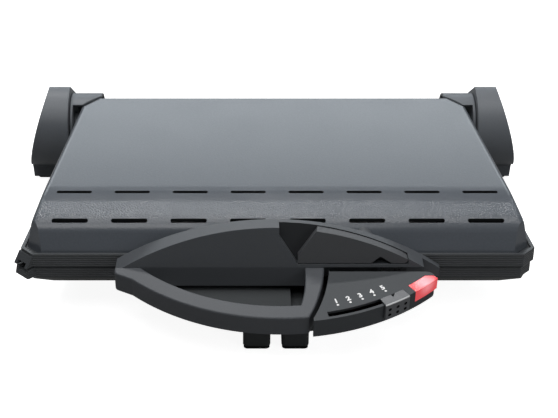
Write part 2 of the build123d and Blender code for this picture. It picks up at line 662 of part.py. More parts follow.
def make_cheek(side):
    """Hinge housing: a round-topped block on a foot, swelling outwards towards the table."""
    round_top = Pos(HINGE_Y, SPLIT_Z) * Circle(CHEEK_R)
    flank = CHEEK_R * 0.94
    stem = make_face(Polyline(
        (HINGE_Y - flank, SPLIT_Z - CHEEK_R / 3), (CHEEK_FOOT_Y, CHEEK_FOOT_TOP), (CHEEK_FOOT_Y, PAD_TALL),
        (CHEEK_FOOT_Y + CHEEK_FOOT, PAD_TALL), (CHEEK_FOOT_Y + CHEEK_FOOT, CHEEK_FOOT_TOP),
        (HINGE_Y + flank, SPLIT_Z - CHEEK_R / 3),
        close=True))
    fall = Plane(origin=(HINGE_Y + CHEEK_R / 2, SPLIT_Z + CHEEK_R, 0)) * Rot(0, 0, -CHEEK_FALL)
    drop = CHEEK_R / 2 * sin(radians(CHEEK_FALL))
    outline = round_top + stem - fall * Pos(0, CHEEK_R / 2 - drop) * Rectangle(4 * CHEEK_R, CHEEK_R)
    cheek = Pos(CHEEK_IN_X, 0, 0) * extrude(Plane.YZ * outline, 2 * CHEEK_R)
    top_z = SPLIT_Z + CHEEK_R
    low = (CHEEK_LOW_X, CHEEK_FOOT_TOP)
    high = (CHEEK_TOP_X, top_z + 1)
    outer = ThreePointArc(low, (CHEEK_MID_X, SPLIT_Z + CHEEK_R / 6), high)
    rest = Polyline(high, (0, top_z + 1), (0, 0), (CHEEK_LOW_X - 0.8, 0), low)
    front = make_face([outer, rest])
    cheek &= Pos(0, REAR_REACH + 10, 0) * extrude(Plane.XZ * front, REAR_REACH + 20)
    cheek -= rod(PIN_R, (CHEEK_IN_X - 1, HINGE_Y, SPLIT_Z), (1, 0, 0), PIN_DEPTH + 1)
    for y in CHEEK_SCREW_Y:
        cheek -= rod(SCREW_R, (CHEEK_IN_X - 1, y, CHEEK_SCREW_Z), (1, 0, 0), CHEEK_SCREW)
    return cheek if side > 0 else mirror(cheek, Plane.YZ)


def make_hinge_pin(side):
    """Steel pin, held in the cheek and running in the arm's hub."""
    pin = rod(PIN_R, (ARM_X - ARM_THICK, HINGE_Y, SPLIT_Z), (1, 0, 0),
              CHEEK_IN_X + PIN_DEPTH - ARM_X + ARM_THICK)
    return pin if side > 0 else mirror(pin, Plane.YZ)


# ---------------------------------------------------------------- base
def base_outer(inset=0.0):
    """The base's outer form: a shallow bowl with a long slope at the front."""
    front = LOWER_INSET + SHELL_INSET
    rear = PLATE_DEPTH - front
    lip = LOWER_Z - LOWER_RIM - BASE_LIP / 2
    points = [
        (front, LOWER_WEB_Z + 10), (front, lip), (front + BASE_FRONT_RUN, BASE_BOTTOM_Z),
        (rear - 12, BASE_BOTTOM_Z), (rear, lip - 8), (rear, LOWER_WEB_Z + 10),
    ]
    form = profile_solid(points, [0.3, 4.0, 20.0, 8.0, 8.0, 0.3], inset)
    upper = plan_prism(front + inset, lip, LOWER_WEB_Z)
    bowl = extrude(plate_plan(front + inset), lip - BASE_BOTTOM_Z + 1, taper=BASE_SIDE_DRAFT)
    return form & (upper + Pos(0, 0, lip) * mirror(bowl, Plane.XY))


def slope_bar(radius, x, start, end):
    """A round bar square to the base's front slope, between two depths outside it."""
    front = LOWER_INSET + SHELL_INSET
    lip = LOWER_Z - LOWER_RIM - BASE_LIP / 2
    fall = atan2(lip - BASE_BOTTOM_Z, BASE_FRONT_RUN)
    down = LEDGE_SCREW_Y - front
    slope = Plane(origin=(x, LEDGE_SCREW_Y, lip - down * tan(fall)), z_dir=(0, -sin(fall), -cos(fall)))
    return slope * Pos(0, 0, start) * extrude(Circle(radius), end - start)


def bridge_outer(inset=0.0):
    """The rear housing between the cheeks."""
    return block(-CHEEK_IN_X + inset, CHEEK_IN_X - inset, PLATE_DEPTH - 14 + inset, BRIDGE_REAR_Y - inset,
                 BASE_BOTTOM_Z + inset, BRIDGE_TOP_Z - inset)


def make_base_shell():
    """Moulded tray with the rear housing, cradles for the hoods and vents underneath."""
    shell = base_outer() + bridge_outer()
    shell -= base_outer(BASE_WALL) + bridge_outer(BASE_WALL)
    room = HOOD_R + CRADLE_GAP
    for side in (-1, 1):
        x0 = ARM_X - ARM_THICK - MOVE_GAP * 3
        start = (side * x0, HINGE_Y, SPLIT_Z)
        length = CHEEK_IN_X - x0
        outside = (side * (x0 - BASE_WALL), HINGE_Y, SPLIT_Z)
        wall = rod(room + BASE_WALL, outside, (side, 0, 0), length + BASE_WALL)
        shell += wall & bridge_outer()
        shell -= rod(room, start, (side, 0, 0), length + 1)
    for i in range(BASE_VENT_COUNT):
        x = (i - (BASE_VENT_COUNT - 1) / 2) * BASE_VENT_PITCH
        vent = Pos(x, PLATE_DEPTH / 2) * SlotOverall(BASE_VENT_LENGTH, BASE_VENT_WIDTH, rotation=90)
        shell -= extrude(vent, BASE_BOTTOM_Z + 2 * BASE_WALL)
    shell -= rod(GLAND_R, (GLAND_X, BRIDGE_REAR_Y - 2 * BASE_WALL, GLAND_Z), (0, 1, 0), 4 * BASE_WALL)
    for x in LEDGE_SCREW_X:
        shell -= slope_bar(SCREW_R, x, -2 * BASE_WALL, BASE_WALL)
    for side in (-1, 1):
        for y in CHEEK_SCREW_Y:
            inside = (side * (CHEEK_IN_X - 2 * BASE_WALL), y, CHEEK_SCREW_Z)
            shell -= rod(SCREW_R, inside, (side, 0, 0), 3 * BASE_WALL)
    return shell - control_room()


# ---------------------------------------------------------------- control box
def box_face():
    """The control box's deck, between the crossbar and the eye's right-hand point."""
    right = beside_bar(BAR_RIGHT_X, BAR_RIGHT_FRONT_X, BOX_GAP, 2 * TIP_X, BOX_BACK)
    face = arc_disc(BOX_R) & right
    tip = face.vertices().sort_by(Axis.X)[-1]
    return fillet(tip, BOX_TIP_R)


def lens_face(grow=0.0):
    """The lens from above: a patch of the box's front edge with its rear corner cut off."""
    margin = grow / BOX_R * 57.3
    patch = sector(LENS_IN_R - grow, BOX_R + 2, LENS_FIRST - margin, LENS_LAST + margin)
    rear = arc_point(LENS_IN_R, LENS_LAST)[1] - 3
    return patch & Pos(TIP_X, rear + grow - 2 * TIP_X) * Rectangle(4 * TIP_X, 4 * TIP_X)


def slot_face():
    """The knob's slot along the scale."""
    over = KNOB_HALF + KNOB_END_GAP
    return sector(SLOT_IN_R, SLOT_OUT_R, SCALE_FIRST - over, SCALE_LAST + over)


def make_control_box():
    """Hollow box with the scale's slot, an opening for the lens and a window for the arm."""
    face = box_face()
    box = deck_prism(face, 0, -BOX_TALL)
    room = deck_prism(offset(face, -BOX_WALL), -BOX_DECK, -BOX_TALL - 1)
    for x in BOX_SCREW_X:
        room -= rod(POST_R, (x, RIB_REAR_Y - BOX_SCREW - 2, BOX_SCREW_Z), (0, 1, 0), BOX_SCREW)
    box -= room
    for x in BOX_SCREW_X:
        box -= rod(SCREW_R, (x, RIB_REAR_Y - BOX_SCREW, BOX_SCREW_Z), (0, 1, 0), BOX_SCREW)
    box -= deck_prism(slot_face(), 1, -BOX_DECK - 1)
    box -= deck_prism(lens_face(LENS_FIT), 1, -LENS_SKIRT - LENS_FIT)
    return box - control_room()


def make_box_floor():
    """Plate that closes the control box from below, with a slot for the arm's riser."""
    floor = deck_prism(offset(box_face(), -BOX_WALL - LENS_FIT), -BOX_TALL + BOX_WALL, -BOX_TALL)
    return floor - control_room()


def make_lens():
    """Red lens that wraps over the box's front edge."""
    shape = deck_prism(lens_face() & arc_disc(BOX_R), 0, -LENS_SKIRT)
    return shape - deck_prism(arc_disc(BOX_R - LENS_THICK), -LENS_THICK, -LENS_SKIRT - 1)


def make_lamp():
    """Neon lamp that lies behind the lens on the box's floor."""
    middle = (LENS_FIRST + LENS_LAST) / 2
    start = arc_point(BOX_R - 3 * LENS_THICK - 1, middle)
    low = -BOX_TALL + BOX_WALL
    bulb = Pos(start[0], start[1], low) * extrude(Circle(LENS_THICK), LENS_SKIRT)
    return deck_plane() * bulb


def make_knob():
    """Slider knob: a cap over the box's front edge, a dimpled skirt and a stem in the slot."""
    a0 = SCALE_LAST - KNOB_HALF
    a1 = SCALE_LAST + KNOB_HALF
    skirt_in = BOX_R + SEAT
    skirt_out = skirt_in + KNOB_SHELL
    knob = deck_prism(sector(KNOB_IN_R, skirt_out, a0, a1), KNOB_TOP, SEAT)
    knob += deck_prism(sector(skirt_in, skirt_out, a0, a1), KNOB_TOP, -KNOB_SKIRT)
    stem = sector(SLOT_IN_R + MOVE_GAP, SLOT_OUT_R - MOVE_GAP, a0 + 1, a1 - 1)
    knob += deck_prism(stem, SEAT, -CONTROL_DECK)
    for row in (0, 1):
        for column in (-1, 0, 1):
            angle = SCALE_LAST + column * DIMPLE_PITCH_DEG
            x, y = arc_point(skirt_out - DIMPLE_DEPTH, angle)
            depth = -KNOB_SKIRT / 3 - row * DIMPLE_ROW
            out = (sin(radians(angle)), -cos(radians(angle)), 0)
            dimple = rod(DIMPLE_R, (x, y, depth), out, 2)
            knob -= deck_plane() * dimple
    x, y = arc_point(KNOB_IN_R, SCALE_LAST)
    mark = make_face(Polyline((x - 2, y + 1), (x + 2, y + 1), (x + 1, y - 3), close=True))
    return knob - deck_prism(mark, KNOB_TOP + 1, KNOB_TOP - DIMPLE_DEPTH)


# ---------------------------------------------------------------- thermostat drive
def on_arc(shape, angle):
    """A shape built straight ahead of the arc's centre, turned to a scale angle on the deck."""
    return deck_plane() * Pos(0, ARC_BACK, 0) * Rot(0, 0, angle) * shape


def depth_at(radius, z):
    """Height over the deck, mostly negative, of a point at radius that lies at world height z."""
    v = ARC_BACK - radius * cos(radians(SCALE_LAST))
    return (z - DECK_Z - v * sin(SLOPE)) / cos(SLOPE)


def arm_profile():
    """Centre line of the control arm seen from the side: distance out, height over the deck."""
    riser = (SLOT_IN_R + SLOT_OUT_R) / 2 - 0.7
    under_box = -BOX_TALL - CONTROL_BOX_GAP - CONTROL_THICK / 2
    return [
        (0, STAT_DEPTH), (HUB_R + 3, STAT_DEPTH),
        (CONTROL_KNEE_R, depth_at(CONTROL_KNEE_R, CONTROL_BASE)),
        (CONTROL_IN_R, depth_at(CONTROL_IN_R, CONTROL_LOW)),
        (CONTROL_OUT_R, depth_at(CONTROL_OUT_R, CONTROL_LOW)),
        (CONTROL_RISE_R, under_box), (riser, under_box), (riser, -CONTROL_DECK - 0.4 * CONTROL_THICK),
    ]


def strip(thickness, start=0):
    """The arm's side view as a face of the given thickness, along its centre line."""
    points = arm_profile()[start:]
    parts = []
    for (r0, w0), (r1, w1) in zip(points, points[1:]):
        length = ((r1 - r0) ** 2 + (w1 - w0) ** 2) ** 0.5
        turn = degrees(atan2(w1 - w0, r1 - r0))
        middle = Location(((r0 + r1) / 2, (w0 + w1) / 2, 0), (0, 0, turn))
        parts.append(middle * Rectangle(length + 0.8 * thickness, thickness))
    face = parts[0]
    for part in parts[1:]:
        face += part
    return face


def make_control_arm():
    """Bent steel strip from the thermostat's spindle to the knob."""
    side = Plane(origin=(0, 0, 0), x_dir=(0, -1, 0), z_dir=(-1, 0, 0))
    arm = extrude(side * strip(CONTROL_THICK), CONTROL_WIDTH / 2, both=True)
    arm += Pos(0, 0, STAT_DEPTH - CONTROL_THICK / 2) * extrude(Circle(HUB_R), CONTROL_THICK)
    arm -= Pos(0, 0, STAT_DEPTH - CONTROL_THICK) * extrude(Circle(SPINDLE_R + PIN_FIT), 2 * CONTROL_THICK)
    return on_arc(arm, SCALE_LAST)


def control_room():
    """The space that the arm sweeps from mark 1 to mark 5, with a gap all round."""
    side = Plane(origin=(0, 0, 0), x_dir=(0, -1, 0), z_dir=(-1, 0, 0))
    face = side * strip(CONTROL_THICK + 2 * CONTROL_ROOM, 2)
    margin = degrees((CONTROL_WIDTH / 2 + CONTROL_ROOM / 2) / CONTROL_KNEE_R)
    room = revolve(face, axis=Axis.Z, revolution_arc=SCALE_LAST - SCALE_FIRST + 2 * margin)
    return on_arc(room, SCALE_FIRST - margin)


def axis_point(w):
    """A point on the thermostat's axis, at a height over the deck."""
    return deck_plane().from_local_coords((0, ARC_BACK, w))


def make_thermostat():
    """Round thermostat clamped under the lower plate, its spindle square to the deck."""
    seat = axis_point(STAT_DEPTH)
    body = rod(STAT_R, (seat.X, seat.Y, LOWER_WEB_Z - STAT_TALL), (0, 0, 1), STAT_TALL)
    spindle = deck_plane() * Pos(0, ARC_BACK, STAT_DEPTH - 3) * extrude(Circle(SPINDLE_R), 3 + STAT_TALL)
    return body + spindle


# ---------------------------------------------------------------- ledge, feet, small parts
def make_ledge():
    """Chin that carries the control box and the front feet, fixed to the base shell's front."""
    rear = LOWER_INSET + SHELL_INSET + LEDGE_BACK
    chin = Pos(EYE_X, LEDGE_FRONT_Y + LEDGE_R) * Circle(LEDGE_R)
    chin &= Pos(0, (LEDGE_FRONT_Y + rear) / 2) * Rectangle(4 * LEDGE_X, rear - LEDGE_FRONT_Y)
    ledge = extrude(Pos(0, 0, LEDGE_BOTTOM_Z) * chin, LEDGE_SHELF_Z - LEDGE_BOTTOM_Z)
    everywhere = Rectangle(4 * TIP_X, 4 * TIP_X)
    under_loop = raised_part(LOOP_IN_R - LEDGE_IN, -LEDGE_X, BAR_LEFT_FRONT_X - BAR_CLEAR, LEDGE_TOP_Z)
    under_box = raised_part(LOOP_IN_R - BOX_REST_IN, BAR_RIGHT_X + BOX_GAP, LEDGE_X, BOX_REST_Z)
    ledge += under_loop + (under_box - deck_prism(everywhere, TIP_X, -BOX_TALL))
    rib = block(BAR_RIGHT_X + BOX_GAP, RIB_X, 2 * DECK_Y, RIB_REAR_Y, LEDGE_SHELF_Z, RIB_TOP_Z)
    ledge += rib - deck_prism(Pos(0, BOX_BACK - 2 * TIP_X) * everywhere, TIP_X, -TIP_X)
    ledge -= base_outer() + control_room() + make_catch()
    for x in LEDGE_SCREW_X:
        ledge -= slope_bar(SCREW_R, x, -1, LEDGE_SCREW)
    for x in BOX_SCREW_X:
        ledge -= rod(SCREW_R, (x, 2 * DECK_Y, BOX_SCREW_Z), (0, 1, 0), -2 * DECK_Y)
    return ledge


def raised_part(radius, x0, x1, top):
    """A part of the ledge that stands up behind one of the eye's arcs, between two sides."""
    area = Pos(EYE_X, DECK_Y + ARC_BACK * cos(SLOPE)) * Circle(radius * cos(SLOPE))
    middle = Pos((x0 + x1) / 2, (LEDGE_FRONT_Y + CREST_REAR_Y) / 2)
    area &= middle * Rectangle(x1 - x0, CREST_REAR_Y - LEDGE_FRONT_Y)
    return extrude(Pos(0, 0, LEDGE_SHELF_Z) * area, top - LEDGE_SHELF_Z)


def make_catch():
    """Steel hook on the ledge that the lever's toe turns under."""
    y1 = DECK_Y + POCKET_DEPTH
    y0 = y1 - TOE_THICK
    top = CREST_LIP_Z - CATCH_GAP
    post = block(CATCH_X - CATCH_THICK, CATCH_X, y0, y1, LEDGE_SHELF_Z + CATCH_ROOT, top)
    return post + block(CATCH_X - CATCH_THICK, CATCH_X + CATCH_REACH, y0, y1, top - CATCH_THICK, top)


def make_front_foot(side):
    """One of the two legs under the ledge."""
    x = FOOT_MID_X + side * FOOT_PITCH / 2
    y = FOOT_FRONT_Y + FOOT_DEPTH / 2
    outline = RectangleRounded(FOOT_WIDTH, FOOT_DEPTH, FOOT_R)
    return extrude(Pos(x, y, PAD_TALL) * outline, LEDGE_BOTTOM_Z - PAD_TALL)


def make_foot_pads():
    """Rubber pads under the two front feet and the two cheeks."""
    y = FOOT_FRONT_Y + FOOT_DEPTH / 2
    pads = []
    for side in (-1, 1):
        front = RectangleRounded(FOOT_WIDTH - 1, FOOT_DEPTH - 1, FOOT_R)
        pads.append(extrude(Pos(FOOT_MID_X + side * FOOT_PITCH / 2, y, 0) * front, PAD_TALL))
        width = CHEEK_LOW_X - CHEEK_IN_X - 6
        rear = RectangleRounded(width, CHEEK_FOOT - 3, FOOT_R)
        rear_y = CHEEK_FOOT_Y + CHEEK_FOOT / 2
        pads.append(extrude(Pos(side * (CHEEK_IN_X + 2 + width / 2), rear_y, 0) * rear, PAD_TALL))
    return Compound(children=pads)


def make_clips(z_web, sign):
    """Four spring clips that hold a plate's web to its shell."""
    clips = []
    for y in CLIP_Y:
        for side in (-1, 1):
            x = side * CLIP_X
            z0, z1 = sorted((z_web, z_web + sign * CLIP_TALL))
            low, high = sorted((z_web + sign * SHEET, z_web + sign * CLIP_TALL * 2))
            clip = block(x - CLIP_WIDE / 2, x + CLIP_WIDE / 2, y, y + CLIP_DEEP, z0, z1)
            clip -= block(x - CLIP_WIDE, x + CLIP_WIDE, y + SHEET, y + CLIP_DEEP - SHEET, low, high)
            clips.append(clip)
    return Compound(children=clips)


def make_screws(places, axis, shank):
    """Pan-head screws: each place is the point under the head."""
    screws = []
    back = tuple(-part for part in axis)
    for place_at in places:
        screw = rod(SCREW_R, place_at, axis, shank)
        screw += rod(SCREW_HEAD_R, place_at, back, SCREW_HEAD)
        screws.append(screw)
    return Compound(children=screws)


def make_ledge_screws():
    """Screws through the base's front slope into the ledge."""
    screws = []
    for x in LEDGE_SCREW_X:
        screw = slope_bar(SCREW_R, x, -BASE_WALL, LEDGE_SCREW - 1)
        screws.append(screw + slope_bar(SCREW_HEAD_R, x, -BASE_WALL - SCREW_HEAD, -BASE_WALL))
    return Compound(children=screws)


def make_cheek_screws():
    """Screws from inside the rear housing into both cheeks."""
    seat = CHEEK_IN_X - BASE_WALL
    screws = []
    for side in (-1, 1):
        places = [(side * seat, y, CHEEK_SCREW_Z) for y in CHEEK_SCREW_Y]
        screws += make_screws(places, (side, 0, 0), CHEEK_SCREW).children
    return Compound(children=screws)


def make_gland():
    """Cable gland in the rear housing, its bore empty."""
    y = BRIDGE_REAR_Y
    gland = rod(GLAND_FLANGE_R, (GLAND_X, y, GLAND_Z), (0, 1, 0), GLAND_FLANGE)
    gland += rod(GLAND_R, (GLAND_X, y - BASE_WALL * 2, GLAND_Z), (0, 1, 0), BASE_WALL * 2)
    return gland - rod(GLAND_BORE, (GLAND_X, y - BASE_WALL * 3, GLAND_Z), (0, 1, 0), GLAND_R * 3)


def make_terminal_block():
    """Three-pole terminal block on the rear housing's floor."""
    floor = BASE_BOTTOM_Z + BASE_WALL
    half = TERMINAL_DEEP / 2
    body = block(-TERMINAL_WIDE / 2, TERMINAL_WIDE / 2, TERMINAL_Y - half, TERMINAL_Y + half,
                 floor, floor + TERMINAL_DEEP)
    for pole in (-1, 0, 1):
        body -= rod(SCREW_R, (pole * POLE_PITCH, TERMINAL_Y, floor + POLE_FLOOR), (0, 0, 1), TERMINAL_DEEP)
    return body


def make_cutout():
    """Thermal cut-out clamped behind the upper plate."""
    return rod(CUTOUT_R, (0, PLATE_DEPTH / 2, UPPER_WEB_Z), (0, 0, 1), CUTOUT_TALL)


def build():
    """Every piece by name, in the frame that it is modelled in."""
    crest_at = [(EYE_X + side * BOSS_X, CREST_SCREW_Y, BOSS_Z) for side in (-1, 1)]
    grip_at = [(x, GRIP_SEAT_Y, GRIP_SCREW_Z) for x in GRIP_SCREW_X]
    box_at = [(x, RIB_REAR_Y, BOX_SCREW_Z) for x in BOX_SCREW_X]
    low = BASE_BOTTOM_Z + BASE_WALL
    pieces = {
        "lid_shell": make_lid_shell(),
        "upper_plate": make_upper_plate(),
        "upper_heater": make_heater(UPPER_WEB_Z + HEATER_R),
        "upper_reflector": make_reflector(UPPER_WEB_Z + 14, UPPER_WEB_Z),
        "upper_plate_clips": make_clips(UPPER_WEB_Z, 1),
        "thermal_cutout": make_cutout(),
        "handle_crest": make_crest(),
        "grip_loop": make_grip_loop(),
        "grip_cover": make_grip_cover(),
        "lock_lever": make_lock_lever(),
        "lever_screw": make_lever_screw(),
        "crest_screws": make_screws(crest_at, (0, -1, 0), CREST_SCREW_Y - CREST_REAR_Y + 5),
        "grip_screws": make_screws(grip_at, (0, -1, 0), GRIP_SEAT_Y - DECK_Y + GRIP_BOSS - 3),
        "base_shell": make_base_shell(),
        "lower_plate": make_lower_plate(),
        "lower_heater": make_heater(LOWER_WEB_Z - HEATER_R),
        "lower_reflector": make_reflector(low + 5, low),
        "lower_plate_clips": make_clips(LOWER_WEB_Z, -1),
        "thermostat": make_thermostat(),
        "terminal_block": make_terminal_block(),
        "cable_gland": make_gland(),
        "front_ledge": make_ledge(),
        "ledge_screws": make_ledge_screws(),
        "box_screws": make_screws(box_at, (0, -1, 0), BOX_SCREW - 1),
        "cheek_screws": make_cheek_screws(),
        "lock_catch": make_catch(),
        "foot_pads": make_foot_pads(),
        "control_box": make_control_box(),
        "control_box_floor": make_box_floor(),
        "lamp_lens": make_lens(),
        "neon_lamp": make_lamp(),
        "control_arm": make_control_arm(),
        "slider_knob": make_knob(),
    }
    for name, side in (("left", -1), ("right", 1)):
        pieces["hinge_arm_" + name] = make_hinge_arm(side)
        pieces["hinge_hood_" + name] = make_hinge_hood(side)
        pieces["cheek_" + name] = make_cheek(side)
        pieces["hinge_pin_" + name] = make_hinge_pin(side)
        pieces["front_foot_" + name] = make_front_foot(side)
    return pieces


if __name__ == "__main__":
    os.makedirs("parts", exist_ok=True)
    made = build()
    front = min(piece.bounding_box().min.Y for piece in made.values())
    rear = max(piece.bounding_box().max.Y for piece in made.values())
    for node, piece in made.items():
        export_step(Pos(0, -(front + rear) / 2, 0) * piece, "parts/" + node + ".step")
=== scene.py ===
import math

import bmesh
import bpy
from mathutils import Matrix, Vector


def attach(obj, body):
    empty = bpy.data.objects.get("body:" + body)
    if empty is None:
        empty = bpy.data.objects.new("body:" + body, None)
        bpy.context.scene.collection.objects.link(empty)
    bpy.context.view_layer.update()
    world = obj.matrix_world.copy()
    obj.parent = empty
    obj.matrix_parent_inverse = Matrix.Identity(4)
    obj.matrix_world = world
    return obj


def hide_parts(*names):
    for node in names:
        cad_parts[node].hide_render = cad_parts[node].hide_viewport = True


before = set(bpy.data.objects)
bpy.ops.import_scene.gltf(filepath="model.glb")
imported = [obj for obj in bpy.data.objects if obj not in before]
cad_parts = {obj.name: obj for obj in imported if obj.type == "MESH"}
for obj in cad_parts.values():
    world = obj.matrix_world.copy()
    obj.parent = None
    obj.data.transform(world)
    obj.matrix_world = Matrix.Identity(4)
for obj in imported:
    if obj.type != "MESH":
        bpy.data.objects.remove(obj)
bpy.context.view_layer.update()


# ---------------------------------------------------------------- camera
# A long lens from straight ahead and above, 28 degrees down.  The grill sits a little right of the
# lens axis, so the frame is shifted by what the picture was cropped by.
FOCAL_PX = 1359.0
FRAME_PX = 558.0
AXIS_PX = 247.2

camera_data = bpy.data.cameras.new("camera")
camera = bpy.data.objects.new("camera", camera_data)
bpy.context.scene.collection.objects.link(camera)
camera.location = (-0.0224, -0.9636, 0.5555)
camera.rotation_euler = (math.radians(62.0), 0.0, 0.0)
camera_data.sensor_width = 36.0
camera_data.lens = FOCAL_PX * camera_data.sensor_width / FRAME_PX
camera_data.shift_x = (FRAME_PX / 2 - AXIS_PX) / FRAME_PX
camera_data.clip_start = 0.05
bpy.context.scene.camera = camera


# ---------------------------------------------------------------- base shell, rear housing and box floor
# Moulded trays of charcoal plastic that nobody looks at from above: plain spark-eroded skin, with
# the edges as the mould leaves them.  The box floor closes the control box from below.
CHARCOAL = (0.060, 0.065, 0.068, 1.0)
SHELL_EDGE = 0.0005


def skin_group():
    """Moulded plastic's skin: fine eroded grain, cloudy colour and uneven shine."""
    group = bpy.data.node_groups.new("moulded_skin", "ShaderNodeTree")
    for name, kind, value in (
        ("Place", "NodeSocketVector", (0.0, 0.0, 0.0)), ("Colour", "NodeSocketColor", (0.5, 0.5, 0.5, 1.0)),
        ("Grain Size", "NodeSocketFloat", 0.001), ("Cloud", "NodeSocketFloat", 0.06),
        ("Speckle", "NodeSocketFloat", 0.1),
        ("Shine", "NodeSocketFloat", 0.45), ("Shine Spread", "NodeSocketFloat", 0.1),
    ):
        group.interface.new_socket(name=name, in_out="INPUT", socket_type=kind).default_value = value
    for name, kind in (("Colour", "NodeSocketColor"), ("Roughness", "NodeSocketFloat"), ("Height", "NodeSocketFloat")):
        group.interface.new_socket(name=name, in_out="OUTPUT", socket_type=kind)
    nodes, link = group.nodes, group.links.new
    given = nodes.new("NodeGroupInput")
    made = nodes.new("NodeGroupOutput")
    scale = nodes.new("ShaderNodeMath")
    scale.operation = "DIVIDE"
    scale.inputs[0].default_value = 1.0
    link(given.outputs["Grain Size"], scale.inputs[1])
    grain = nodes.new("ShaderNodeTexNoise")
    grain.inputs["Detail"].default_value = 2.0
    grain.inputs["Roughness"].default_value = 0.65
    link(given.outputs["Place"], grain.inputs["Vector"])
    link(scale.outputs[0], grain.inputs["Scale"])
    pits = nodes.new("ShaderNodeTexVoronoi")
    pits.feature = "SMOOTH_F1"
    link(given.outputs["Place"], pits.inputs["Vector"])
    link(scale.outputs[0], pits.inputs["Scale"])
    height = nodes.new("ShaderNodeMath")
    height.operation = "MULTIPLY_ADD"
    link(pits.outputs["Distance"], height.inputs[0])
    height.inputs[1].default_value = 0.6
    link(grain.outputs[0], height.inputs[2])
    link(height.outputs[0], made.inputs["Height"])
    cloud = nodes.new("ShaderNodeTexNoise")
    cloud.inputs["Scale"].default_value = 22.0
    cloud.inputs["Detail"].default_value = 4.0
    link(given.outputs["Place"], cloud.inputs["Vector"])
    swing = nodes.new("ShaderNodeMath")
    swing.operation = "SUBTRACT"
    link(cloud.outputs[0], swing.inputs[0])
    swing.inputs[1].default_value = 0.5
    tone = nodes.new("ShaderNodeMath")
    tone.operation = "MULTIPLY_ADD"
    link(swing.outputs[0], tone.inputs[0])
    link(given.outputs["Cloud"], tone.inputs[1])
    tone.inputs[2].default_value = 1.0
    peaks = nodes.new("ShaderNodeMath")
    peaks.operation = "SUBTRACT"
    link(height.outputs[0], peaks.inputs[0])
    peaks.inputs[1].default_value = 0.75
    fleck = nodes.new("ShaderNodeMath")
    fleck.operation = "MULTIPLY_ADD"
    link(peaks.outputs[0], fleck.inputs[0])
    link(given.outputs["Speckle"], fleck.inputs[1])
    link(tone.outputs[0], fleck.inputs[2])
    tint = nodes.new("ShaderNodeVectorMath")
    tint.operation = "SCALE"
    link(given.outputs["Colour"], tint.inputs[0])
    link(fleck.outputs[0], tint.inputs["Scale"])
    link(tint.outputs[0], made.inputs["Colour"])
    shine = nodes.new("ShaderNodeMath")
    shine.operation = "MULTIPLY_ADD"
    link(swing.outputs[0], shine.inputs[0])
    link(given.outputs["Shine Spread"], shine.inputs[1])
    link(given.outputs["Shine"], shine.inputs[2])
    link(shine.outputs[0], made.inputs["Roughness"])
    return group


moulded_skin = skin_group()


def rounded(nodes, radius):
    """The normal of a piece whose sharp edges are broken by a small radius."""
    edge = nodes.new("ShaderNodeBevel")
    edge.samples = 6
    edge.inputs["Radius"].default_value = radius
    return edge.outputs[0]


def moulded(name, colour, grain, depth, shine, gloss=0.4, cloud=0.08, speckle=0.15, edge=SHELL_EDGE):
    """A moulded plastic in one colour, with its grain's size and depth in metres and rounded edges."""
    material = bpy.data.materials.new(name)
    material.use_nodes = True
    nodes, link = material.node_tree.nodes, material.node_tree.links.new
    surface = nodes["Principled BSDF"]
    surface.inputs["Specular IOR Level"].default_value = gloss
    place = nodes.new("ShaderNodeTexCoord")
    skin = nodes.new("ShaderNodeGroup")
    skin.node_tree = moulded_skin
    skin.inputs["Colour"].default_value = colour
    skin.inputs["Grain Size"].default_value = grain
    skin.inputs["Cloud"].default_value = cloud
    skin.inputs["Speckle"].default_value = speckle
    skin.inputs["Shine"].default_value = shine
    link(place.outputs["Object"], skin.inputs["Place"])
    bump = nodes.new("ShaderNodeBump")
    bump.inputs["Distance"].default_value = depth
    link(skin.outputs["Height"], bump.inputs["Height"])
    link(rounded(nodes, edge), bump.inputs["Normal"])
    link(skin.outputs["Colour"], surface.inputs["Base Color"])
    link(skin.outputs["Roughness"], surface.inputs["Roughness"])
    link(bump.outputs["Normal"], surface.inputs["Normal"])
    return material


def dress(material, *names):
    """A CAD node keeps its form and takes a finish."""
    for name in names:
        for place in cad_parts[name].material_slots:
            place.material = material


def softened(name, body, material, edge):
    """The node's own form with all its edges rounded, as they come out of the mould."""
    form = bmesh.new()
    form.from_mesh(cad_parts[name].data)
    bmesh.ops.remove_doubles(form, verts=form.verts, dist=2e-6)
    bmesh.ops.dissolve_limit(form, verts=form.verts, edges=form.edges, angle_limit=math.radians(0.2))
    mesh = bpy.data.meshes.new(name)
    form.to_mesh(mesh)
    form.free()
    piece = bpy.data.objects.new(name + "_moulded", mesh)
    bpy.context.scene.collection.objects.link(piece)
    bevel = piece.modifiers.new("edges", "BEVEL")
    bevel.width = edge
    bevel.segments = 3
    bevel.limit_method = "ANGLE"
    bevel.angle_limit = math.radians(32.0)
    bevel.use_clamp_overlap = False
    bevel.miter_outer = "MITER_ARC"
    mesh.shade_smooth()
    mesh.set_sharp_from_angle(angle=math.radians(50.0))
    weigh = piece.modifiers.new("shading", "WEIGHTED_NORMAL")
    weigh.keep_sharp = True
    seen = piece.evaluated_get(bpy.context.evaluated_depsgraph_get())
    finished = bpy.data.meshes.new_from_object(seen)
    piece.modifiers.clear()
    piece.data = finished
    finished.materials.clear()
    finished.materials.append(material)
    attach(piece, body)
    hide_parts(name)
    return piece


charcoal = moulded("charcoal_plastic", CHARCOAL, 0.0008, 0.00006, 0.5)
dress(charcoal, "base_shell", "control_box_floor", "terminal_block")


# ---------------------------------------------------------------- cooking plates
# Two aluminium castings with a black non-stick coat, one in the base and one in the lid.  The coat
# is sprayed, so it has an orange-peel surface with bright specks, and the turned rims keep faint lines.
COAT = (0.065, 0.070, 0.075, 1.0)
RIM_EDGE = 0.0004
RIM_LINE_PITCH = 0.0016


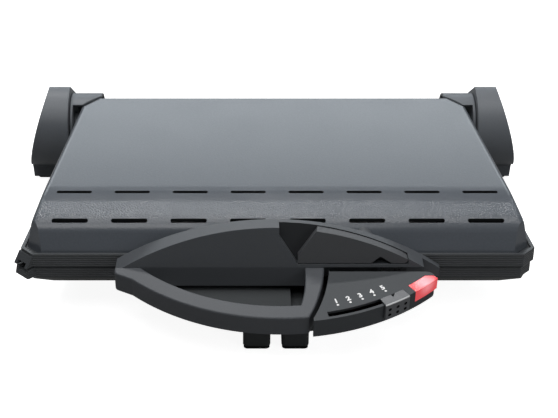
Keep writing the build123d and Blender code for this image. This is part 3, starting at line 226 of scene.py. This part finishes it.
def speck_group():
    """Tiny bright mineral specks in a sprayed coat, as a mask."""
    group = bpy.data.node_groups.new("coat_specks", "ShaderNodeTree")
    group.interface.new_socket(name="Place", in_out="INPUT", socket_type="NodeSocketVector")
    size = group.interface.new_socket(name="Speck Size", in_out="INPUT", socket_type="NodeSocketFloat")
    size.default_value = 0.0012
    group.interface.new_socket(name="Mask", in_out="OUTPUT", socket_type="NodeSocketFloat")
    nodes, link = group.nodes, group.links.new
    given = nodes.new("NodeGroupInput")
    made = nodes.new("NodeGroupOutput")
    scale = nodes.new("ShaderNodeMath")
    scale.operation = "DIVIDE"
    scale.inputs[0].default_value = 1.0
    link(given.outputs["Speck Size"], scale.inputs[1])
    cells = nodes.new("ShaderNodeTexVoronoi")
    link(given.outputs["Place"], cells.inputs["Vector"])
    link(scale.outputs[0], cells.inputs["Scale"])
    near = nodes.new("ShaderNodeMapRange")
    near.inputs["From Min"].default_value = 0.22
    near.inputs["From Max"].default_value = 0.12
    link(cells.outputs["Distance"], near.inputs["Value"])
    link(near.outputs[0], made.inputs["Mask"])
    return group


def coated(name, colour):
    """The plates' non-stick coat."""
    material = bpy.data.materials.new(name)
    material.use_nodes = True
    nodes, link = material.node_tree.nodes, material.node_tree.links.new
    surface = nodes["Principled BSDF"]
    surface.inputs["Specular IOR Level"].default_value = 0.45
    place = nodes.new("ShaderNodeTexCoord")
    skin = nodes.new("ShaderNodeGroup")
    skin.node_tree = moulded_skin
    skin.inputs["Colour"].default_value = colour
    skin.inputs["Grain Size"].default_value = 0.0018
    skin.inputs["Shine"].default_value = 0.38
    link(place.outputs["Object"], skin.inputs["Place"])
    specks = nodes.new("ShaderNodeGroup")
    specks.node_tree = speck_group()
    link(place.outputs["Object"], specks.inputs["Place"])
    faint = nodes.new("ShaderNodeMath")
    faint.operation = "MULTIPLY"
    faint.inputs[1].default_value = 0.12
    link(specks.outputs["Mask"], faint.inputs[0])
    mix = nodes.new("ShaderNodeMix")
    mix.data_type = "RGBA"
    mix.inputs[7].default_value = (0.32, 0.32, 0.33, 1.0)
    link(faint.outputs[0], mix.inputs[0])
    link(skin.outputs["Colour"], mix.inputs[6])
    link(mix.outputs[2], surface.inputs["Base Color"])
    link(skin.outputs["Roughness"], surface.inputs["Roughness"])
    lines = nodes.new("ShaderNodeTexWave")
    lines.bands_direction = "Z"
    lines.inputs["Scale"].default_value = 0.314 / RIM_LINE_PITCH
    lines.inputs["Distortion"].default_value = 0.6
    lines.inputs["Detail Scale"].default_value = 0.2
    link(place.outputs["Object"], lines.inputs["Vector"])
    facing = nodes.new("ShaderNodeNewGeometry")
    split = nodes.new("ShaderNodeSeparateXYZ")
    link(facing.outputs["Normal"], split.inputs[0])
    upright = nodes.new("ShaderNodeMapRange")
    upright.inputs["From Min"].default_value = 0.5
    upright.inputs["From Max"].default_value = 0.1
    slant = nodes.new("ShaderNodeMath")
    slant.operation = "ABSOLUTE"
    link(split.outputs["Z"], slant.inputs[0])
    link(slant.outputs[0], upright.inputs["Value"])
    turned = nodes.new("ShaderNodeMath")
    turned.operation = "MULTIPLY"
    link(lines.outputs["Fac"], turned.inputs[0])
    link(upright.outputs[0], turned.inputs[1])
    height = nodes.new("ShaderNodeMath")
    height.operation = "MULTIPLY_ADD"
    height.inputs[1].default_value = 3.0
    link(turned.outputs[0], height.inputs[0])
    link(skin.outputs["Height"], height.inputs[2])
    bump = nodes.new("ShaderNodeBump")
    bump.inputs["Distance"].default_value = 0.00012
    link(height.outputs[0], bump.inputs["Height"])
    link(rounded(nodes, RIM_EDGE), bump.inputs["Normal"])
    link(bump.outputs["Normal"], surface.inputs["Normal"])
    return material


coat = coated("non_stick_coat", COAT)
dress(coat, "lower_plate", "upper_plate")


# ---------------------------------------------------------------- heaters, clips, thermostat and other steel
# Drawn tube, spring clips, pins, arms and screws in plain zinc-plated steel, with streaks along the
# drawing direction and duller patches where the plating is thin.
STEEL = (0.50, 0.50, 0.49, 1.0)


def metal(name, colour, shine, stretch):
    """Bare metal with fine streaks; stretch gives the streaks' fineness along x, y and z, per metre."""
    material = bpy.data.materials.new(name)
    material.use_nodes = True
    nodes, link = material.node_tree.nodes, material.node_tree.links.new
    surface = nodes["Principled BSDF"]
    surface.inputs["Metallic"].default_value = 1.0
    place = nodes.new("ShaderNodeTexCoord")
    pull = nodes.new("ShaderNodeMapping")
    pull.inputs["Scale"].default_value = stretch
    link(place.outputs["Object"], pull.inputs["Vector"])
    streaks = nodes.new("ShaderNodeTexNoise")
    streaks.inputs["Scale"].default_value = 1.0
    streaks.inputs["Detail"].default_value = 3.0
    link(pull.outputs[0], streaks.inputs["Vector"])
    skin = nodes.new("ShaderNodeGroup")
    skin.node_tree = moulded_skin
    skin.inputs["Colour"].default_value = colour
    skin.inputs["Grain Size"].default_value = 0.002
    skin.inputs["Cloud"].default_value = 0.35
    skin.inputs["Shine"].default_value = shine
    skin.inputs["Shine Spread"].default_value = 0.3
    link(place.outputs["Object"], skin.inputs["Place"])
    link(skin.outputs["Colour"], surface.inputs["Base Color"])
    link(skin.outputs["Roughness"], surface.inputs["Roughness"])
    bump = nodes.new("ShaderNodeBump")
    bump.inputs["Distance"].default_value = 0.00003
    link(streaks.outputs[0], bump.inputs["Height"])
    link(bump.outputs["Normal"], surface.inputs["Normal"])
    return material


steel = metal("zinc_plated_steel", STEEL, 0.38, (300.0, 1800.0, 1800.0))
dress(
    steel,
    "lower_heater", "upper_heater", "lower_plate_clips", "upper_plate_clips", "thermostat", "thermal_cutout",
    "ledge_screws", "lock_catch", "box_screws", "cheek_screws", "hinge_pin_left", "hinge_pin_right",
    "crest_screws", "grip_screws", "lever_screw", "hinge_arm_left", "hinge_arm_right", "control_arm",
)


# ---------------------------------------------------------------- reflectors
# Bright rolled aluminium sheets behind the heaters, on four posts each, with the rolling marks
# running across the grill.
rolled_sheet = metal("rolled_sheet", (0.76, 0.76, 0.77, 1.0), 0.22, (60.0, 2500.0, 2500.0))
dress(rolled_sheet, "lower_reflector", "upper_reflector")


# ---------------------------------------------------------------- rubber pads and gland
# Soft black rubber: pressed pads under the feet and the cheeks, and the gland in the rear housing's
# wall.  Dull, with a coarse bloom.
rubber = moulded("black_rubber", (0.018, 0.018, 0.018, 1.0), 0.0015, 0.00005, 0.75, gloss=0.25, cloud=0.3)
dress(rubber, "foot_pads", "cable_gland")


# ---------------------------------------------------------------- ledge and front feet
# The chin under the handle and the two short legs under it, moulded in the same charcoal plastic as
# the base shell and screwed to its sloping front.
dress(charcoal, "front_ledge")
softened("front_foot_left", "base", charcoal, 0.0012)
softened("front_foot_right", "base", charcoal, 0.0012)


# ---------------------------------------------------------------- control box
# Hollow box at the right of the eye, dark grey plastic with a satin skin.  Its deck carries the
# scale, printed in white: the numbers 1 to 5 with a dot under each, turned along the arc.
HANDLE_GREY = (0.074, 0.080, 0.089, 1.0)
EYE = Vector((0.0005, -0.02 - 0.10769, 0.0635))
SLOPE = math.radians(11.0)
ARC_BACK = 0.1048
DIGIT_R = 0.1449
DOT_R = 0.1488
DIGIT_SIZE = 0.0058
DOT_SIZE = 0.00085
SCALE_FIRST = 15.5
SCALE_SWEEP = 14.3
SCALE_COUNT = 5
PRINT_LIFT = 0.00004

deck = Matrix.Translation(EYE) @ Matrix.Rotation(SLOPE, 4, "X")


def deck_point(radius, angle, lift=0.0):
    """A place on the handle's sloping deck, by radius and angle round the eye's arc centre."""
    turn = math.radians(angle)
    return Vector((radius * math.sin(turn), ARC_BACK - radius * math.cos(turn), lift))


handle_grey = moulded("handle_plastic_grey", HANDLE_GREY, 0.0007, 0.00005, 0.52)
box_grey = moulded("box_plastic_grey", (0.054, 0.060, 0.066, 1.0), 0.0007, 0.00005, 0.6)
dress(box_grey, "control_box")


def dot_row_tree():
    """Geometry nodes for a row of round dots along an arc about the origin."""
    tree = bpy.data.node_groups.new("dot_row", "GeometryNodeTree")
    for name, kind in (
        ("Arc Radius", "NodeSocketFloat"), ("First Angle", "NodeSocketFloat"), ("Sweep", "NodeSocketFloat"),
        ("Count", "NodeSocketInt"), ("Dot Size", "NodeSocketFloat"), ("Ink", "NodeSocketMaterial"),
    ):
        tree.interface.new_socket(name=name, in_out="INPUT", socket_type=kind)
    tree.interface.new_socket(name="Dots", in_out="OUTPUT", socket_type="NodeSocketGeometry")
    nodes, link = tree.nodes, tree.links.new
    given = nodes.new("NodeGroupInput")
    made = nodes.new("NodeGroupOutput")
    arc = nodes.new("GeometryNodeCurveArc")
    link(given.outputs["Count"], arc.inputs["Resolution"])
    link(given.outputs["Arc Radius"], arc.inputs["Radius"])
    link(given.outputs["First Angle"], arc.inputs["Start Angle"])
    link(given.outputs["Sweep"], arc.inputs["Sweep Angle"])
    marks = nodes.new("GeometryNodeCurveToPoints")
    marks.mode = "EVALUATED"
    link(arc.outputs["Curve"], marks.inputs["Curve"])
    dot = nodes.new("GeometryNodeMeshCircle")
    dot.fill_type = "NGON"
    dot.inputs["Vertices"].default_value = 20
    link(given.outputs["Dot Size"], dot.inputs["Radius"])
    copies = nodes.new("GeometryNodeInstanceOnPoints")
    link(marks.outputs["Points"], copies.inputs["Points"])
    link(dot.outputs["Mesh"], copies.inputs["Instance"])
    real = nodes.new("GeometryNodeRealizeInstances")
    link(copies.outputs["Instances"], real.inputs["Geometry"])
    inked = nodes.new("GeometryNodeSetMaterial")
    link(real.outputs["Geometry"], inked.inputs["Geometry"])
    link(given.outputs["Ink"], inked.inputs["Material"])
    link(inked.outputs["Geometry"], made.inputs["Dots"])
    return tree


def dot_row(material):
    """The scale's dots as a plain mesh, round the eye's arc centre."""
    tree = dot_row_tree()
    row = bpy.data.objects.new("dot_row", bpy.data.meshes.new("dot_row"))
    bpy.context.scene.collection.objects.link(row)
    repeat = row.modifiers.new("dots", "NODES")
    repeat.node_group = tree
    values = {
        "Arc Radius": DOT_R, "First Angle": math.radians(SCALE_FIRST - 90.0), "Sweep": math.radians(SCALE_SWEEP),
        "Count": SCALE_COUNT, "Dot Size": DOT_SIZE, "Ink": material,
    }
    for socket in tree.interface.items_tree:
        if socket.in_out == "INPUT":
            repeat[socket.identifier] = values[socket.name]
    mesh = bpy.data.meshes.new_from_object(row.evaluated_get(bpy.context.evaluated_depsgraph_get()))
    bpy.data.objects.remove(row)
    return mesh


def printed_scale(material):
    """The numbers and dots of the heat scale as one thin print on the deck."""
    form = bmesh.new()
    dots = dot_row(material)
    dots.transform(deck @ Matrix.Translation((0.0, ARC_BACK, PRINT_LIFT)))
    form.from_mesh(dots)
    bpy.data.meshes.remove(dots)
    for number in range(1, SCALE_COUNT + 1):
        angle = SCALE_FIRST + SCALE_SWEEP * (number - 1) / (SCALE_COUNT - 1)
        curve = bpy.data.curves.new("digit", "FONT")
        curve.body = str(number)
        curve.size = DIGIT_SIZE
        curve.align_x = "CENTER"
        curve.align_y = "CENTER"
        curve.offset = 0.00026
        curve.resolution_u = 6
        text = bpy.data.objects.new("digit", curve)
        bpy.context.scene.collection.objects.link(text)
        bpy.context.view_layer.update()
        flat = bpy.data.meshes.new_from_object(text.evaluated_get(bpy.context.evaluated_depsgraph_get()))
        bpy.data.objects.remove(text)
        turn = Matrix.Rotation(math.radians(angle), 4, "Z")
        flat.transform(deck @ Matrix.Translation(deck_point(DIGIT_R, angle, PRINT_LIFT)) @ turn)
        form.from_mesh(flat)
        bpy.data.meshes.remove(flat)
    mesh = bpy.data.meshes.new("scale_print")
    form.to_mesh(mesh)
    form.free()
    return mesh


ink = bpy.data.materials.new("white_print")
ink.use_nodes = True
ink_nodes, ink_link = ink.node_tree.nodes, ink.node_tree.links.new
ink_place = ink_nodes.new("ShaderNodeTexCoord")
ink_skin = ink_nodes.new("ShaderNodeGroup")
ink_skin.node_tree = moulded_skin
ink_skin.inputs["Colour"].default_value = (0.86, 0.86, 0.86, 1.0)
ink_skin.inputs["Grain Size"].default_value = 0.0004
ink_link(ink_place.outputs["Object"], ink_skin.inputs["Place"])
ink_link(ink_skin.outputs["Colour"], ink_nodes["Principled BSDF"].inputs["Base Color"])
ink_link(ink_skin.outputs["Roughness"], ink_nodes["Principled BSDF"].inputs["Roughness"])
scale_print = bpy.data.objects.new("scale_print", printed_scale(ink))
bpy.context.scene.collection.objects.link(scale_print)
scale_print.data.materials.clear()
scale_print.data.materials.append(ink)
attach(scale_print, "base")


# ---------------------------------------------------------------- slider knob
# Moulded cap over the box's front edge, with a dimpled skirt for the finger and a small pointer
# notch.  The same plastic as the handle, a little shinier where it is handled.  Its rounded front top
# edge is painted light as a highlight, and its dimples, pointer notch and the edges beside its gap
# are painted dark as shade.
KNOB_TOP = 0.0015
KNOB_ANGLE = 30.1
KNOB_RIGHT = 33.5
KNOB_REAR_R = 0.1556
KNOB_FRONT_R = 0.1626
DIMPLE_FLOOR_R = 0.16235
DIMPLE_ROWS = (-0.0040, -0.0082)
DIMPLE_STEP = 2.0
DIMPLE_R = 0.0011
DIMPLE_OPEN = 1.15
DIMPLE_SPREAD = 1.15
KNOB_ROUND = 0.0008
KNOB_BREAK = 0.0004

knob_grey = moulded("knob_plastic", (0.115, 0.120, 0.130, 1.0), 0.0006, 0.00003, 0.36, gloss=0.5)
# The light grey on the knob's front top edge is a painted highlight.
knob_painted_highlight = moulded("knob_painted_highlight_edge", (0.60, 0.61, 0.62, 1.0), 0.0006, 0.00001, 0.25, gloss=0.6)
# Near-black plastic that stands for shade: painted shade in the knob's dimples, pointer notch and gap, and on the
# walls of the lid's vents.
shadow_black = moulded("painted_recess_shade", (0.010, 0.011, 0.012, 1.0), 0.0008, 0.00004, 0.8, gloss=0.1)


def deck_place(point):
    """A world point's radius and angle round the eye's arc centre, and its height over the deck."""
    local = deck.inverted() @ Vector(point)
    back = ARC_BACK - local.y
    return math.hypot(local.x, back), math.degrees(math.atan2(local.x, back)), local.z


def knob_rim(edge):
    """True for the edges round the knob's top face."""
    return all(abs(deck_place(v.co)[2] - KNOB_TOP) < 0.00005 for v in edge.verts) and len(edge.link_faces) == 2


def knob_dimples(form):
    """Opens the six dimples out and spreads their rows, as the finger has worn them."""
    for vertex in form.verts:
        radius, angle, height = deck_place(vertex.co)
        for column in (-1.0, 0.0, 1.0):
            for row in DIMPLE_ROWS:
                across = radius * math.radians(angle - KNOB_ANGLE - column * DIMPLE_STEP)
                up = height - row
                if radius > DIMPLE_FLOOR_R and math.hypot(across, up) < DIMPLE_R * 1.1:
                    turn = KNOB_ANGLE + column * DIMPLE_STEP * DIMPLE_SPREAD
                    turn += math.degrees(across * DIMPLE_OPEN / radius)
                    middle = sum(DIMPLE_ROWS) / 2
                    level = middle + (row - middle) * DIMPLE_SPREAD + up * DIMPLE_OPEN
                    vertex.co = deck @ deck_point(radius, turn, level)
                    break
            else:
                continue
            break


def knob_edges(form):
    """Opens the dimples, rounds the front top edge and paints it light as a highlight, and breaks the edges beside the
    knob's gap and paints them dark as shade.
    """
    knob_dimples(form)
    rim = [edge for edge in form.edges if knob_rim(edge) and edge.calc_face_angle(0.0) > math.radians(45.0)]
    front = [edge for edge in rim if min(deck_place(v.co)[0] for v in edge.verts) > KNOB_FRONT_R]
    gap = [edge for edge in rim if edge not in front
           and (max(deck_place(v.co)[0] for v in edge.verts) < KNOB_REAR_R
                or min(deck_place(v.co)[1] for v in edge.verts) > KNOB_RIGHT)]
    for edges, width, steps, index in ((front, KNOB_ROUND, 3, 1), (gap, KNOB_BREAK, 1, 2)):
        edges = [edge for edge in edges if edge.is_valid]
        bmesh.ops.bevel(form, geom=edges, offset=width, offset_type="OFFSET", segments=steps, profile=0.5,
                        affect="EDGES", clamp_overlap=True, material=index)


def merged_copy(name, rework, finishes, chosen):
    """A node's form with its own shading, some edges reworked, and faces picked out for other materials: painted
    shade, and on the knob also a painted highlight.
    """
    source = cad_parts[name].data
    mesh = source.copy()
    mesh.materials.clear()
    for finish in finishes:
        mesh.materials.append(finish)
    kept = mesh.attributes.new("kept", "FLOAT_VECTOR", "CORNER")
    for corner, normal in zip(kept.data, source.corner_normals):
        corner.vector = normal.vector
    form = bmesh.new()
    form.from_mesh(mesh)
    for face in form.faces:
        face.material_index = 0
    bmesh.ops.remove_doubles(form, verts=form.verts, dist=2e-6)
    rework(form)
    form.to_mesh(mesh)
    form.free()
    mesh.shade_smooth()
    piece = bpy.data.objects.new(name + "_moulded", mesh)
    bpy.context.scene.collection.objects.link(piece)
    weigh = piece.modifiers.new("shading", "WEIGHTED_NORMAL")
    seen = piece.evaluated_get(bpy.context.evaluated_depsgraph_get())
    blended = [corner.vector.copy() for corner in seen.data.corner_normals]
    piece.modifiers.remove(weigh)
    normals = [corner.vector.copy() for corner in mesh.attributes["kept"].data]
    for face in mesh.polygons:
        if face.material_index:
            for corner in face.loop_indices:
                normals[corner] = blended[corner]
        face.material_index = chosen(face)
    mesh.normals_split_custom_set(normals)
    mesh.attributes.remove(mesh.attributes["kept"])
    return piece


def knob_finish(face):
    """The material of one of the knob's faces: the dimples and pointer notch get painted shade; other faces keep what
    they were given, plain plastic, the painted highlight on the front edge, the painted shade beside the gap.
    """
    radius, angle, height = deck_place(face.center)
    off = abs(angle - KNOB_ANGLE)
    dimple = DIMPLE_FLOOR_R < radius < KNOB_FRONT_R + 0.0005 and off < 3.2 and -0.0115 < height < -0.0010
    pointer = radius < 0.1588 and off < 1.3 and 0.0007 < height < KNOB_TOP - 0.00005
    if dimple or pointer:
        return 2
    return face.material_index


knob = merged_copy("slider_knob", knob_edges, (knob_grey, knob_painted_highlight, shadow_black), knob_finish)
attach(knob, "slider")
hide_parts("slider_knob")


# ---------------------------------------------------------------- lamp
# Clear red lens that wraps over the box's front edge, with the small neon bulb behind it.  The bulb's
# light is painted into the lens, which glows by its own colour: pink in its middle, and the thicker rim
# stays a deeper red.
LENS_ANGLE = 40.4
LENS_R = 0.1575
LENS_EDGE = 0.0006
LENS_DEEP = (0.74, 0.07, 0.08, 1.0)
LENS_LIT = (0.95, 0.30, 0.33, 1.0)

lens = bpy.data.materials.new("red_lens")
lens.use_nodes = True
lens_nodes, lens_link = lens.node_tree.nodes, lens.node_tree.links.new
lens_surface = lens_nodes["Principled BSDF"]
lens_place = lens_nodes.new("ShaderNodeTexCoord")
lens_offset = lens_nodes.new("ShaderNodeVectorMath")
lens_offset.operation = "DISTANCE"
lens_offset.inputs[1].default_value = deck @ deck_point(LENS_R, LENS_ANGLE, -0.001)
lens_link(lens_place.outputs["Object"], lens_offset.inputs[0])
lens_fall = lens_nodes.new("ShaderNodeMapRange")
lens_fall.interpolation_type = "SMOOTHSTEP"
lens_fall.inputs["From Min"].default_value = 0.001
lens_fall.inputs["From Max"].default_value = 0.0105
lens_link(lens_offset.outputs["Value"], lens_fall.inputs["Value"])
lens_mix = lens_nodes.new("ShaderNodeMix")
lens_mix.data_type = "RGBA"
lens_mix.inputs[6].default_value = LENS_LIT
lens_mix.inputs[7].default_value = LENS_DEEP
lens_link(lens_fall.outputs[0], lens_mix.inputs[0])
lens_skin = lens_nodes.new("ShaderNodeGroup")
lens_skin.node_tree = moulded_skin
lens_skin.inputs["Grain Size"].default_value = 0.0018
lens_skin.inputs["Shine"].default_value = 0.22
lens_link(lens_mix.outputs[2], lens_skin.inputs["Colour"])
lens_link(lens_place.outputs["Object"], lens_skin.inputs["Place"])
lens_bump = lens_nodes.new("ShaderNodeBump")
lens_bump.inputs["Distance"].default_value = 0.00008
lens_link(lens_skin.outputs["Height"], lens_bump.inputs["Height"])
lens_link(rounded(lens_nodes, LENS_EDGE), lens_bump.inputs["Normal"])
lens_link(lens_skin.outputs["Colour"], lens_surface.inputs["Base Color"])
lens_link(lens_skin.outputs["Colour"], lens_surface.inputs["Emission Color"])
lens_link(lens_skin.outputs["Roughness"], lens_surface.inputs["Roughness"])
lens_link(lens_bump.outputs["Normal"], lens_surface.inputs["Normal"])
# The lens's glow is painted light standing in for the bulb's.
lens_surface.inputs["Emission Strength"].default_value = 0.62
dress(lens, "lamp_lens")

bulb = moulded("neon_bulb", (0.95, 0.45, 0.25, 1.0), 0.002, 0.00002, 0.1, gloss=0.5)
bulb.node_tree.nodes["Principled BSDF"].inputs["Transmission Weight"].default_value = 0.6
dress(bulb, "neon_lamp")


# ---------------------------------------------------------------- hinge cheeks
# Round-topped housings at the rear corners, in one moulding each with a rounded outer edge, screwed
# to the rear housing from inside.  Blue-grey charcoal.
cheek_grey = moulded("cheek_plastic", (0.130, 0.142, 0.157, 1.0), 0.0008, 0.00006, 0.42, edge=0.0012)
dress(cheek_grey, "cheek_left", "cheek_right")


# ---------------------------------------------------------------- hinge hoods
# Curved covers that turn with the lid inside the cheeks, thin-walled, their inner front corner cut
# off beside the lid's rear corner.
dress(cheek_grey, "hinge_hood_left", "hinge_hood_right")


# ---------------------------------------------------------------- lid shell
# The grey cover: one moulding with a spark-eroded grain that sparkles where light falls along the
# front turn, two rows of vents whose walls are painted dark as shade, and rounded corners.
LID_GREY = (0.096, 0.107, 0.123, 1.0)
LID_CORNER = 0.0028
VENT_ROWS = (-0.09219, -0.05909)
VENT_REACH = 0.0021
VENT_END = 0.168
VENT_FLOOR = 0.078


def lid_corner(edge):
    """True for the steep edges at the shell's cut corners."""
    a, b = (v.co for v in edge.verts)
    steep = abs(a.z - b.z) > 0.5 * (a - b).length
    return steep and abs(a.x) > 0.13 and edge.calc_face_angle(0.0) > math.radians(20.0)


BAND_START = (-0.066, -0.079)
BAND_END = (-0.097, -0.088)

lid_grey = moulded("lid_plastic_grey", LID_GREY, 0.0013, 0.00048, 0.21, gloss=0.5, cloud=0.05, speckle=0.15, edge=0.0002)


def coarse_band(material):
    """Deepens the grain along the front turn and flattens it elsewhere."""
    nodes, link = material.node_tree.nodes, material.node_tree.links.new
    bump = next(node for node in nodes if node.type == "BUMP")
    skin = next(node for node in nodes if node.type == "GROUP")
    place = next(node for node in nodes if node.type == "TEX_COORD")
    split = nodes.new("ShaderNodeSeparateXYZ")
    link(place.outputs["Object"], split.inputs[0])
    sides = []
    for outer, inner in (BAND_START, BAND_END):
        side = nodes.new("ShaderNodeMapRange")
        side.interpolation_type = "SMOOTHSTEP"
        side.inputs["From Min"].default_value = outer
        side.inputs["From Max"].default_value = inner
        link(split.outputs["Y"], side.inputs["Value"])
        sides.append(side)
    band = nodes.new("ShaderNodeMath")
    band.operation = "MULTIPLY"
    link(sides[0].outputs[0], band.inputs[0])
    link(sides[1].outputs[0], band.inputs[1])
    amount = nodes.new("ShaderNodeMapRange")
    amount.inputs["To Min"].default_value = 0.10
    link(band.outputs[0], amount.inputs["Value"])
    height = nodes.new("ShaderNodeMath")
    height.operation = "MULTIPLY"
    link(skin.outputs["Height"], height.inputs[0])
    link(amount.outputs[0], height.inputs[1])
    link(height.outputs[0], bump.inputs["Height"])


coarse_band(lid_grey)


def lid_corners(form):
    """Rounds the shell's steep corners."""
    edges = [edge for edge in form.edges if len(edge.link_faces) == 2 and lid_corner(edge)]
    bmesh.ops.bevel(form, geom=edges, offset=LID_CORNER, offset_type="OFFSET", segments=5, profile=0.5,
                    affect="EDGES", clamp_overlap=True, material=1)


def lid_finish(face):
    """The material of one of the lid's faces: the walls of the vents are painted dark as shade, all else is plain."""
    in_row = min(abs(face.center.y - row) for row in VENT_ROWS) < VENT_REACH
    inside = abs(face.center.x) < VENT_END and face.center.z > VENT_FLOOR
    return int(in_row and inside and abs(face.normal.z) < 0.2)


lid_shell = merged_copy("lid_shell", lid_corners, (lid_grey, shadow_black), lid_finish)
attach(lid_shell, "lid")
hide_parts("lid_shell")


# ---------------------------------------------------------------- handle
# The crest, an upright leaf behind the grip, and the grip loop with its cover, which butt against
# each other: dark grey plastic with a satin skin.  The floor of the lever's pocket in the crest is
# painted darker as shade.
POCKET_PLANE = 0.1295
POCKET_NEAR = 0.0004

dress(handle_grey, "grip_loop", "grip_cover")
crest_grey = moulded("crest_plastic_grey", (0.072, 0.078, 0.086, 1.0), 0.0007, 0.00005, 0.47)
# The darker grey of the pocket's floor is painted shade.
pocket_shade_paint = moulded("crest_pocket_painted_shade", (0.028, 0.030, 0.033, 1.0), 0.0007, 0.00005, 0.6, gloss=0.25)


def crest_as_it_is(form):
    """The crest keeps its form."""


def crest_finish(face):
    """The material of one of the crest's faces: the floor of the lever's pocket is painted darker as shade."""
    return int(face.normal.y < -0.9 and abs(face.normal.dot(face.center) - POCKET_PLANE) < POCKET_NEAR)


crest = merged_copy("handle_crest", crest_as_it_is, (crest_grey, pocket_shade_paint), crest_finish)
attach(crest, "lid")
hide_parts("handle_crest")


# ---------------------------------------------------------------- lock lever
# Flat lever in the crest's pocket, a little darker than the leaf round it, with a notch in its
# lower edge and a toe on its back.
lever_grey = moulded("lever_plastic", (0.070, 0.073, 0.078, 1.0), 0.0007, 0.00004, 0.45)
dress(lever_grey, "lock_lever")


# ---------------------------------------------------------------- studio
# Pale floor that runs out to white, a wide soft lamp above and behind, a weak one in front, and an
# even pale room.
floor = bpy.data.objects.new("floor", bpy.data.meshes.new("floor"))
bpy.context.scene.collection.objects.link(floor)
floor_form = bmesh.new()
bmesh.ops.create_grid(floor_form, x_segments=1, y_segments=1, size=12.0)
floor_form.to_mesh(floor.data)
floor_form.free()
paper = bpy.data.materials.new("paper")
paper.use_nodes = True
paper_nodes, paper_link = paper.node_tree.nodes, paper.node_tree.links.new
paper_surface = paper_nodes["Principled BSDF"]
paper_surface.inputs["Roughness"].default_value = 1.0
paper_surface.inputs["Specular IOR Level"].default_value = 0.0
paper_glow = paper_nodes.new("ShaderNodeEmission")
paper_glow.inputs["Color"].default_value = (1.0, 1.0, 1.0, 1.0)
paper_rays = paper_nodes.new("ShaderNodeLightPath")
paper_seen = paper_nodes.new("ShaderNodeMix")
paper_seen.data_type = "RGBA"
paper_seen.inputs[6].default_value = (0.22, 0.22, 0.22, 1.0)
paper_seen.inputs[7].default_value = (0.8, 0.8, 0.8, 1.0)
paper_link(paper_rays.outputs["Is Camera Ray"], paper_seen.inputs[0])
paper_link(paper_seen.outputs[2], paper_surface.inputs["Base Color"])
paper_sum = paper_nodes.new("ShaderNodeMath")
paper_sum.operation = "MULTIPLY_ADD"
paper_sum.inputs[1].default_value = 0.12
paper_link(paper_rays.outputs["Is Glossy Ray"], paper_sum.inputs[0])
paper_link(paper_rays.outputs["Is Camera Ray"], paper_sum.inputs[2])
paper_all = paper_nodes.new("ShaderNodeMath")
paper_all.operation = "ADD"
paper_link(paper_sum.outputs[0], paper_all.inputs[0])
paper_link(paper_rays.outputs["Is Transmission Ray"], paper_all.inputs[1])
paper_level = paper_nodes.new("ShaderNodeMath")
paper_level.operation = "MULTIPLY"
paper_level.use_clamp = True
paper_level.inputs[1].default_value = 0.92
paper_link(paper_all.outputs[0], paper_level.inputs[0])
paper_link(paper_level.outputs[0], paper_glow.inputs["Strength"])
paper_add = paper_nodes.new("ShaderNodeAddShader")
paper_link(paper_surface.outputs[0], paper_add.inputs[0])
paper_link(paper_glow.outputs[0], paper_add.inputs[1])
paper_link(paper_add.outputs[0], paper_nodes["Material Output"].inputs["Surface"])
floor.data.materials.append(paper)

room = bpy.data.worlds.new("room")
bpy.context.scene.world = room
room.use_nodes = True
room_nodes, room_link = room.node_tree.nodes, room.node_tree.links.new
room_air = room_nodes["Background"]
room_air.inputs["Color"].default_value = (0.93, 0.96, 1.0, 1.0)
room_rays = room_nodes.new("ShaderNodeLightPath")
room_sum = room_nodes.new("ShaderNodeMath")
room_sum.operation = "ADD"
room_link(room_rays.outputs["Is Camera Ray"], room_sum.inputs[0])
room_link(room_rays.outputs["Is Transmission Ray"], room_sum.inputs[1])
room_mix = room_nodes.new("ShaderNodeMapRange")
room_mix.inputs["To Min"].default_value = 0.05
room_mix.inputs["To Max"].default_value = 1.0
room_link(room_sum.outputs[0], room_mix.inputs["Value"])
room_link(room_mix.outputs[0], room_air.inputs["Strength"])


def lamp(name, place, aim, width, depth, power):
    """A soft box with a given place, aim, size and power."""
    data = bpy.data.lights.new(name, "AREA")
    data.shape = "RECTANGLE"
    data.size = width
    data.size_y = depth
    data.energy = power
    light = bpy.data.objects.new(name, data)
    bpy.context.scene.collection.objects.link(light)
    light.location = place
    light.visible_camera = False
    light.rotation_euler = (Vector(aim) - Vector(place)).to_track_quat("-Z", "Y").to_euler()
    return light


lamp("overhead", (0.0, -0.10, 1.40), (0.0, 0.0, 0.05), 1.5, 0.9, 12.5)
lamp("rear_strip", (-0.18, 0.72, 1.23), (-0.1, 0.0, 0.09), 0.9, 0.06, 7.0)
wall = lamp("rear_wall", (0.0, 1.9, 0.88), (0.0, 0.0, 0.09), 2.6, 0.5, 10.5)
wall.data.color = (0.88, 0.95, 1.0)
lamp("front_fill", (-0.2, -0.95, 1.25), (0.0, -0.1, 0.05), 0.8, 0.5, 3.8)
lamp("right_fill", (0.95, -0.95, 0.55), (0.0, -0.1, 0.05), 0.5, 0.4, 2.0)
bpy.context.scene.view_settings.view_transform = "Standard"
